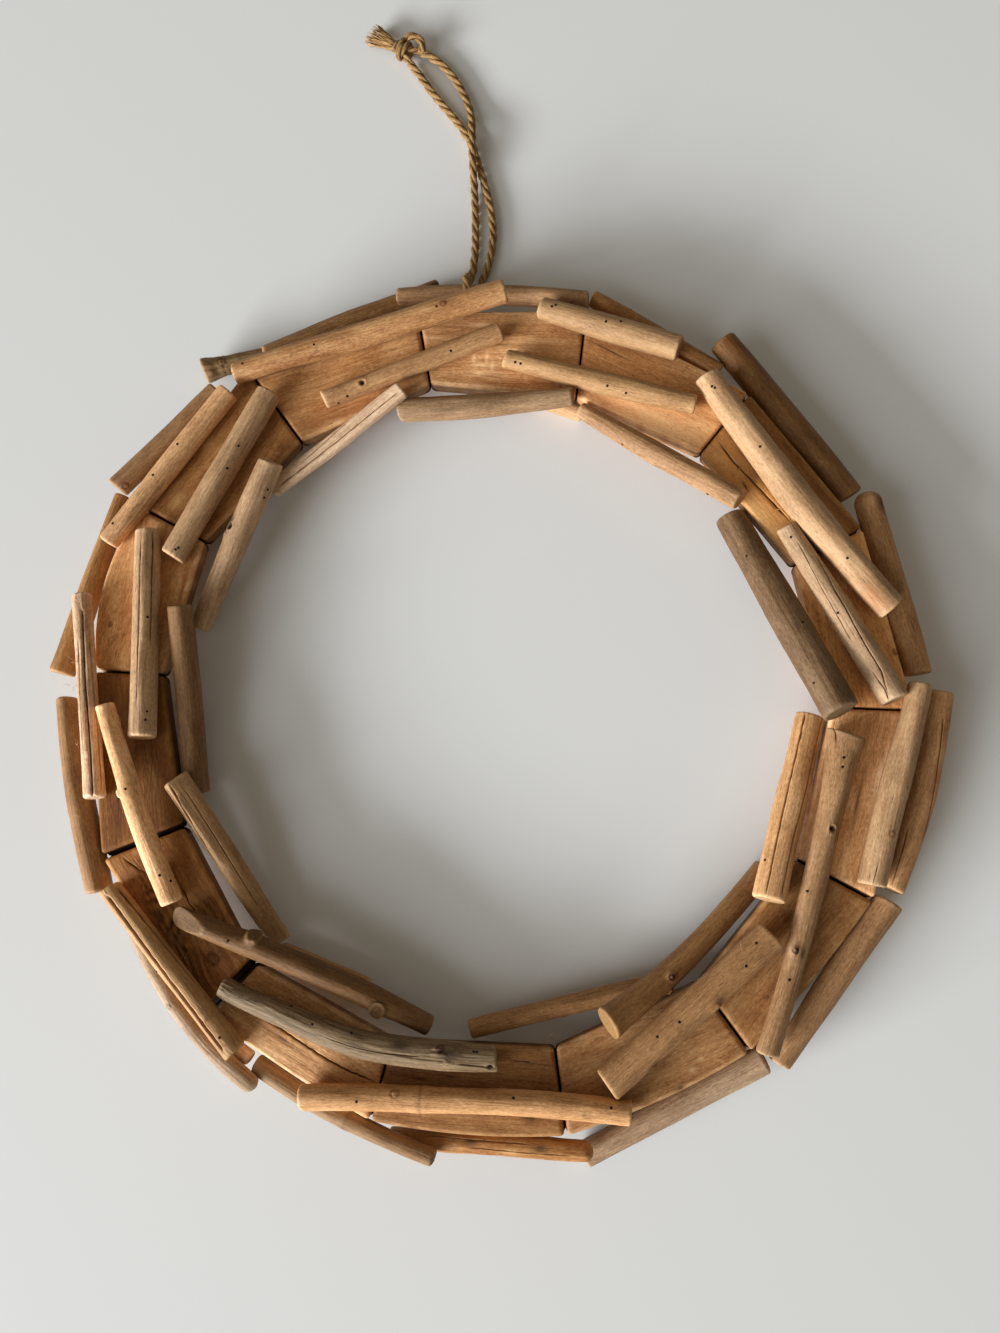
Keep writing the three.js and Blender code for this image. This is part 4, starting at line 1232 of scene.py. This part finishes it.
# A crack is its width, its depth and its pixels, a knot its kind, its pixel and its radius,
# and a nail its pixel. Negative tones are dark, and negative warmths are cool.
FRONT_STICKS = (
    stick((23, 178, 24.4), (85.5, 156.5, 24.4), (10, 12, 11.5), STRAW, tone=-0.60, warmth=0.5,
          nails=((553, 306.5), (557, 304.5), (606, 322), (621, 321.5))),
    stick((6.5, 153.5, 23.7), (92, 129.5, 23.7), (8.5, 10.5, 9), STRAW, tone=-0.60, warmth=0.8,
          nails=((515.5, 362.4), (520.4, 364), (606.5, 386), (625, 392.6))),
    stick((97, 142.5, 25.2), (171.5, 35.5, 25.6), (11, 14, 12), STRAW, bow=-2.3, tone=-0.35,
          warmth=0.3,
          knots=(("bump", (787, 458), 2.4), ("red", (875, 600), 3.0), ("red", (868, 588), 2.0)),
          nails=((711, 386), (714, 387), (759, 446), (847, 557))),
    stick((129.7, 72.8, 23.3), (171, -3.5, 25), (9, 11, 12), STRAW, tone=-0.50, warmth=-0.1,
          cracks=((0.28, 0.9, ((818.5, 559), (836, 592), (860, 636), (882, 672), (888, 693))),
                  (0.22, 0.7, ((874, 674), (885, 690), (890, 702))),
                  (0.19, 0.3, ((800, 545), (822, 590), (850, 640)))),
          nails=((790.4, 535.8), (837.3, 613.8), (860.4, 637.6))),
    stick((182, 3.5, 24), (157, -79, 24.5), (9.5, 12, 11), STRAW, tone=-0.55, warmth=0.3,
          flutes=0.035, cracks=((0.19, 0.4, ((879, 862), (876, 872), (873, 881))),),
          knots=(("ring", (893.3, 833.5), 1.5), ("spot", (907.7, 787.6), 0.5),
                 ("spot", (900, 800), 0.5), ("spot", (901.5, 805), 0.4))),
    stick((150, -17.5, 25.4), (113.5, -145, 22.8),
          (14.5, 12.0, 10.0, 9.6, 9.4, 9.0, 8.3, 8.3, 9.0), HONEY, bow=2, tone=-0.60,
          warmth=-0.1, flare=(0, 0.7, 5),
          cracks=((0.31, 0.8, ((834, 724), (836, 733), (836, 742))),),
          knots=(("hole", (833, 828), 1.1), ("bump", (795, 949), 2.2), ("ring", (796, 950), 1.3),
                 ("dark", (797, 952), 0.8), ("pale", (791, 947), 1.4), ("dark", (803, 954), 1.0),
                 ("red", (836, 735), 2.0)),
          nails=((842.8, 758.5), (840.3, 768.4), (807.7, 892.5), (789.8, 978.6))),
    stick((116.5, -99.5, 25), (50, -158, 25), (13, 13, 13), TAN, tone=-0.45, warmth=0.6,
          knots=(("bump", (717, 1005.5), 2.8), ("dent", (660, 1067), 3.0)),
          nails=((656.5, 1036.5), (678, 1022.8), (745.6, 967.3), (756.8, 942.8))),
    stick((59.5, -168.5, 23.6), (-73, -166, 23.8), (9.5, 9.8, 9.4, 10, 10), HONEY, bow=-2.2,
          tone=0.35, warmth=0.2, nodes=((0.63, 3.0),),
          knots=(("ring", (395, 1093), 2.0), ("dent", (589, 1116.7), 1.8)),
          nails=((356.6, 1103.3), (515, 1098.3), (611.6, 1108))),
    stick((6, -149, 24.2), (-108, -122.5, 23.6), (10.5, 11.5, 11, 10, 8), GREY, bow=7.5,
          tone=-0.70, warmth=0.6, sway=1.4, flutes=0.10, columns=64,
          cracks=((0.34, 1.4, ((460, 1066), (476, 1067.5), (492, 1069))),
                  (0.19, 0.4, ((250, 990), (300, 1012), (350, 1030))),
                  (0.19, 0.4, ((330, 1038), (380, 1052), (420, 1058)))),
          knots=(("bump", (438, 1052), 2.0), ("ring", (440, 1050), 1.5),
                 ("hole", (489, 1068.4), 1.0), ("dark", (450, 1056), 2.2),
                 ("dark", (400, 1046), 2.0), ("pale", (330, 1030), 3.0)),
          nails=((243.4, 983.5), (289.6, 1007), (311.8, 1023.3), (350.5, 1031), (472.6, 1052.3),
                 (475.8, 1052.3))),
    stick((-22, -138.5, 16.5), (-130, -94.5, 25.8), (8.5, 10, 10.5, 10, 8.5), TAN, bow=-1.5,
          tone=-1.25, warmth=1.3, rounded=(1,), slice=(1, 105, 16, -0.25),
          knots=(("nub", (254, 937), 3.5), ("nub", (377, 1011), 3.3)), nails=((229.3, 941.5),)),
    stick((-101, -149, 23.5), (-159, -84, 23.3), (10, 10, 9.5), STRAW, tone=-0.45, warmth=0.8,
          flutes=0.04, columns=72,
          cracks=((0.50, 2.0, ((107.5, 896), (221, 1049))),
                  (0.46, 1.8, ((118, 888), (210, 999)))),
          nails=((145.4, 956.5), (157.2, 971.4), (219.7, 1039))),
    stick((-131.5, -90, 23.2), (-165.5, -6.5, 27.8), (9.5, 9, 8), HONEY, bow=1.5, tone=1.95,
          warmth=-0.4,
          knots=(("nub", (119, 793.5), 1.6), ("bump", (124, 719), 1.8)),
          nails=((125.8, 788.7), (160.3, 876.1), (170, 880.6))),
    stick((-169, -46.5, 22.9), (-182.5, 44, 22.3), (9, 8.5, 8), TAN, tone=1.70, warmth=-1.0,
          flutes=0.05, columns=72,
          cracks=((0.46, 1.7, ((83, 612), (84.5, 670), (89, 740), (91.5, 796))),
                  (0.25, 0.7, ((90, 640), (97, 720), (101, 790))),
                  (0.22, 0.5, ((78, 640), (82, 740)))),
          knots=(("dark", (103, 758), 1.4), ("spot", (84, 692), 0.6))),
    stick((-149.5, -20.5, 24.1), (-153.5, 73, 24.1), (11.5, 11, 11), ASH, tone=0.70, warmth=0.4,
          flutes=0.045, columns=64,
          cracks=((0.31, 0.9, ((153.4, 532), (153, 555), (152.5, 577), (151, 640))),
                  (0.19, 0.4, ((141, 545), (139, 610), (136, 700)))),
          nails=((147, 616.8), (146.5, 712), (144.9, 720.6))),
    stick((-172.5, 68, 23), (-121, 139.5, 23.7), (9, 10, 10.5), TAN, tone=0.80, warmth=0.1,
          nails=((177, 444.5), (152.4, 474.6), (112.6, 523.5))),
    stick((-141.5, 60.5, 24.2), (-101.5, 138.5, 24.2), (11, 11.5, 11), ASH, tone=0.15,
          warmth=0.6, flutes=0.04,
          nails=((238.3, 446), (227, 468), (175.2, 549.5), (177.5, 548.6))),
    stick((-118.5, 148.5, 23.2), (7, 182, 32), (9.5, 11.5, 10.5), ORANGE, tone=0.00, warmth=-0.4,
          knots=(("ring", (444, 303), 1.6), ("red", (300, 370), 3.5), ("red", (270, 376), 3.0),
                 ("dent", (318, 351), 1.2), ("red", (444, 303), 1.8)),
          nails=((243, 363.5), (314, 344), (437, 306))),
    stick((-76.5, 135, 22.9), (4.5, 167, 23), (8.5, 9, 9), TAN, tone=0.05, warmth=0.3,
          knots=(("hole", (362, 382), 1.1),), nails=((338.5, 403), (348.5, 396), (450.3, 351))),
)
nails = make_sticks("front_stick", FRONT_STICKS, 100)


# Outer sticks: fifteen thinner lengths, nailed to the planks' outer edge so that they hide
# it. Some run over the next one's end.
OUTER_STICKS = (
    stick((-45, 190, 15.8), (45, 185.3, 17.4), (8, 9, 9), TAN, bow=2.1, tone=-0.25, warmth=0.1),
    stick((47, 189.2, 12.5), (104.8, 150.7, 12.5), (8, 9, 9), BROWN, tone=0.30, warmth=1.0,
          knots=(("ring", (631.5, 309.3), 1.5), ("dark", (716, 354), 2.5))),
    stick((106.5, 165, 14.5), (160.5, 89.5, 14), (12, 13, 11.5), BROWN, tone=-0.90, warmth=1.3,
          dark_ends=(0.35, 0), knots=(("red", (725, 337), 3.0), ("red", (745, 350), 3.5))),
    stick((167.5, 91, 14.5), (184.5, 9, 15), (11.5, 12, 11.5), TAN, tone=-0.35, warmth=0.7,
          rounded=(0,), knots=(("dark", (882, 504), 2.0), ("pale", (872, 500), 2.0))),
    stick((193, 1.5, 15.5), (167.5, -81, 15), (11.5, 12.5, 11), TAN, bow=2.5, tone=0.00,
          warmth=0.5, flutes=0.04, columns=68,
          cracks=((0.34, 1.1, ((944, 719), (938, 770), (927, 824), (911.5, 881))),
                  (0.22, 0.6, ((907.7, 827.7), (900, 858), (892.4, 883)))),
          knots=(("red", (936, 780), 3.0), ("red", (926, 830), 3.0))),
    stick((166.8, -86.2, 14), (119.8, -150.6, 13), (12, 11, 10), TAN, tone=-0.30, warmth=0.3,
          rim=1.0, knots=(("spot", (860, 920.5), 0.6),)),
    stick((114.5, -149, 12), (41, -190, 4.93), (11, 11, 10), ASH, tone=-0.05, warmth=0.1,
          knots=(("spot", (743, 1073), 0.6),)),
    stick((44.5, -184.5, 16), (-39, -185.5, 5.5), (8, 8.5, 8), ORANGE, tone=-0.55, warmth=0.8,
          rounded=(0,), sway=1.4, flutes=0.05,
          cracks=((0.22, 0.4, ((470, 1148), (520, 1152), (570, 1154))),
                  (0.19, 0.4, ((430, 1136), (480, 1141), (530, 1144)))),
          knots=(("pale", (511, 1151.5), 2.0), ("dark", (540, 1148), 1.4),
                 ("dark", (470, 1142), 1.4))),
    stick((-19.5, -189.5, 15.5), (-96.1, -156.5, 9), (7, 7.8, 8.6), STRAW, bow=2.5, tone=-1.10,
          warmth=0.9, nodes=((0.46, 1.6),),
          cracks=((0.25, 0.7, ((350, 1135), (366, 1143), (382, 1151.5))),)),
    stick((-95, -165, 13), (-157, -89, 13), (7.5, 8, 6.5), HONEY, bow=7, tone=-0.05, warmth=-1.2,
          rounded=(0,), knots=(("ring", (168.8, 1006.5), 1.3),)),
    stick((-168, -86.5, 13), (-190, -2, 14), (11.5, 12, 9), TAN, bow=1.3, tone=-0.45, warmth=0.6,
          dark_ends=(0, 0.5), knots=(("ring", (67, 811), 1.3),)),
    stick((-194, 9.5, 12.5), (-173.2, 94.6, 9.9), (11, 10.5, 8), TAN, tone=-0.40, warmth=1.1,
          rim=1.0),
    stick((-172.6, 95.7, 17.5), (-128.4, 143, 18), (10.5, 10, 9.5), TAN, tone=-0.70, warmth=0.5,
          knots=(("ring", (126, 486), 1.8),)),
    stick((-139, 157.5, 9), (-108, 168, 5.6), (9, 8, 7), GREY, tone=-0.40, warmth=1.0,
          flare=(0, 1.5, 6), sway=1.4, flutes=0.07, nodes=((0.3, 2.2), (0.55, 1.5)),
          knots=(("ring", (222, 362), 2.2), ("bump", (212, 372), 1.8))),
    stick((-107.9, 162.1, 13.5), (-27.2, 200.7, 4.67), (10.5, 11, 9.5), BROWN, tone=0.00,
          warmth=0.4, dark_ends=(0, 0.9), knots=(("dark", (434, 284), 2.4),)),
)
nails += make_sticks("outer_stick", OUTER_STICKS, 200)


# Inner sticks: eleven lengths nailed to the planks' inner edge. Most have one end down
# beside the planks and the other lifted onto them.
INNER_STICKS = (
    stick((40.8, 131.3, 17), (110.3, 85, 22.9), (7.5, 10, 10), TAN, tone=-0.25, warmth=0.2,
          nails=((708, 495), (622, 443))),
    stick((108, 81, 11.5), (147.5, -9, 28.4), (13, 15, 15), BROWN, tone=-1.00, warmth=-0.2,
          rim=1.0, flutes=0.035,
          knots=(("spot", (746.3, 559), 0.6), ("spot", (746.3, 569.4), 0.6),
                 ("spot", (797.8, 625), 0.7), ("spot", (780.4, 630.7), 0.6),
                 ("spot", (801.3, 670.2), 0.6)),
          nails=((745.4, 554.7), (803.3, 622), (814, 681.7))),
    stick((139, -8.5, 12), (116, -85.5, 24.9), (12, 13, 13), HONEY, tone=0.45, columns=68,
          cracks=((0.31, 1.0, ((805, 713), (790, 780), (777, 840), (767, 891))),
                  (0.31, 1.0, ((822.5, 715), (808, 780), (794, 840), (782, 894)))),
          nails=((765.7, 860.3),)),
    stick((119.2, -73.1, 4.5), (50.5, -134.8, 24.8), (9.5, 9.8, 10, 10.5, 13), TAN, bow=3,
          tone=-0.80, warmth=1.1, flare=(1, 0.5, 4),
          knots=(("bump", (671.7, 977), 1.7), ("ring", (671.7, 977), 1.2),
                 ("dark", (672, 978), 0.6), ("pale", (668, 974), 1.0),
                 ("nub", (670.6, 991), 1.4))),
    stick((77.1, -119.8, 7.5), (-6, -140.5, 11), (8, 8.5, 8), TAN, tone=-0.35, warmth=0.7),
    stick((-51.4, -127, 5.75), (-90.2, -112.4, 5.75), (11.5, 11.5, 11.5), ORANGE, tone=-0.2),
    stick((-88, -106.5, 9), (-134, -38, 23.7), (8.5, 10.5, 11), STRAW, tone=-0.70, warmth=0.7,
          flutes=0.05, columns=68, flats=((72, 0.74),),
          cracks=((0.34, 1.0, ((169, 785), (233, 893))), (0.22, 0.5, ((186, 790), (258, 905))),
                  (0.22, 0.6, ((166, 788), (214, 866))))),
    stick((-129, -43.5, 9), (-136.5, 38.5, 24), (11, 11, 11), TAN, tone=-1.10, warmth=0.7),
    stick((-132.5, 31, 10), (-99, 105, 24.5), (9.3, 11.6, 11.4), ASH, tone=0.15, warmth=0.4,
          knots=(("hole", (230.5, 526), 1.3), ("bump", (226, 534), 1.8),
                 ("pale", (226, 533.4), 1.2), ("dark", (232, 521), 2.0)),
          nails=((268, 491), (264, 498.3))),
    stick((-101.6, 95.8, 12), (-40, 139, 23.5), (8, 8.5, 8), STRAW, tone=0.80, warmth=-0.7,
          columns=64, flats=((80, 0.72),),
          cracks=((0.31, 1.0, ((281, 486), (397, 394))), (0.22, 0.4, ((300, 462), (375, 400))))),
    stick((-42.5, 133.2, 15.6), (37.5, 135, 22.5), (11.5, 11, 8.4), ASH, bow=-1, tone=-0.55,
          warmth=0.6),
)
nails += make_sticks("inner_stick", INNER_STICKS, 300)


# Stick ends and splinters: two more sticks show only an end, one beside the tenth plank and
# one on the floor under the second plank's inner edge. Fine splinters have lifted off the
# wood in a few places.
STICK_ENDS = {
    "outer_stick_end_behind": stick((-113, -145.5, 9.5), (-98.6, -154.5, 9.5), (6.5, 6.5, 6.5),
                                    TAN, tone=1.0, seed=401, warmth=-0.6),
    "inner_stick_end_behind": stick((19.5, 144, 4.3), (43, 135.1, 4.3), (8, 8, 8), STRAW,
                                    tone=-0.2, seed=402, warmth=0.4),
}
for name, row in STICK_ENDS.items():
    Stick(row).piece(name)
# For each tuft of splinters: its place, its reach and how many there are
SPLINTERS = (
    ((-181.5, 2, 27), 7, 3), ((-180, 12, 26.5), 7, 3), ((-172, -32, 27.5), 8, 3),
    ((-178, -22, 26), 7, 2), ((87, 104, 26), 5, 4), ((27, -142, 14), 8, 5),
    ((-2, 146, 27), 7, 2), ((103, -103, 30), 6, 2),
)
rng = np.random.default_rng(77)
splinters = Skin()
for place, reach, count in SPLINTERS:
    for index in range(count):
        away = unit(rng.normal(0, 1, 3) * (1, 1, 0.35)) * reach * rng.uniform(0.4, 1.0)
        bend = rng.normal(0, 0.8, 3)
        start = np.array(place, float) + rng.normal(0, 0.5, 3)
        lay_fibre(splinters, (start, start + away * 0.5 + bend, start + away), 0.09, rng, 3)
splinter_piece = splinters.piece("loose_splinters", STRAW)


# Nails: small wire nails with dark round heads, driven in until the head lies level with the
# wood. Up to six of them show in a stick.
NAIL_HEAD, NAIL_SIDES = 0.62, 12
NAIL_PROFILE = ((0.9, -0.8), (1.0, -0.1), (0.95, 0.06), (0.6, 0.14))


def nail_steel():
    finish = Finish("dark_nail_steel", Metallic=0.6, Specular_IOR_Level=0.4)
    rust = finish.noise(finish.layer("grain"), (3.0, 3.0, 3.0), 3.0)
    colour = finish.ramp(rust, ((0.35, (26, 20, 17)), (0.7, (62, 42, 30))))
    return finish.end(colour, finish.spread(rust, 0.3, 0.7, 0.5, 0.75))


nail_skin = Skin()
turn = np.linspace(0, 2 * math.pi, NAIL_SIDES, endpoint=False)
for head, outwards in nails:
    side = unit(np.cross(outwards, [0.3, 0.9, 0.2]))
    over = np.cross(side, outwards)
    circle = np.cos(turn)[:, None] * side + np.sin(turn)[:, None] * over
    rings = np.array([head + outwards * rise + NAIL_HEAD * share * circle
                      for share, rise in NAIL_PROFILE])
    ends = np.array([head - outwards * 0.9, head + outwards * 0.16])
    nail_skin.tube(rings, ends, np.vstack([rings.reshape(-1, 3), ends]))
nail_skin.piece("nail_heads", nail_steel())


# Floor and light: the wreath lies on a plain pale floor. A long low window lights it from the
# lower left, a second one lights it from higher up there, and a dim warm room fills the shade.
FLOOR_HALF, FLOOR_HEIGHT = 3.0, -0.0002
FLOOR_COLOUR = (228, 229, 230)
floor_mesh = bpy.data.meshes.new("pale_floor")
floor_corners = [(x * FLOOR_HALF, y * FLOOR_HALF, FLOOR_HEIGHT)
                 for x, y in ((-1, -1), (1, -1), (1, 1), (-1, 1))]
floor_mesh.from_pydata(floor_corners, [], [(0, 1, 2, 3)])
floor = bpy.data.objects.new("pale_floor", floor_mesh)
paint = Finish("pale_floor_paint", Specular_IOR_Level=0.3, Roughness=0.7)
paint.shader.inputs["Base Color"].default_value = linear(FLOOR_COLOUR)
floor_mesh.materials.append(paint.material)
bpy.context.scene.collection.objects.link(floor)

WINDOW_AWAY, WINDOW_TURN = 7.0, math.radians(219)
WINDOW_COLOUR = (0.965, 0.99, 1.0)
ROOM_COLOUR, ROOM_STRENGTH = (1.0, 0.89, 0.70, 1), 0.21
# For each light: its height in degrees, its width and height in metres, and its power
LIGHTS = {"low_window": (16.0, 5.0, 1.4, 870.0), "high_window": (36.0, 5.0, 3.0, 170.0)}
for name, (rise, wide, tall, power) in LIGHTS.items():
    light_data = bpy.data.lights.new(name, "AREA")
    light_data.shape = "RECTANGLE"
    light_data.size, light_data.size_y = wide, tall
    light_data.energy, light_data.color = power, WINDOW_COLOUR
    light = bpy.data.objects.new(name, light_data)
    rise = math.radians(rise)
    light.location = WINDOW_AWAY * Vector((
        math.cos(WINDOW_TURN) * math.cos(rise), math.sin(WINDOW_TURN) * math.cos(rise),
        math.sin(rise),
    ))
    light.rotation_euler = (-light.location).to_track_quat("-Z", "Y").to_euler()
    bpy.context.scene.collection.objects.link(light)
world = bpy.data.worlds.new("soft_room")
world.use_nodes = True
room = world.node_tree.nodes["Background"]
room.inputs["Color"].default_value = ROOM_COLOUR
room.inputs["Strength"].default_value = ROOM_STRENGTH
bpy.context.scene.world = world
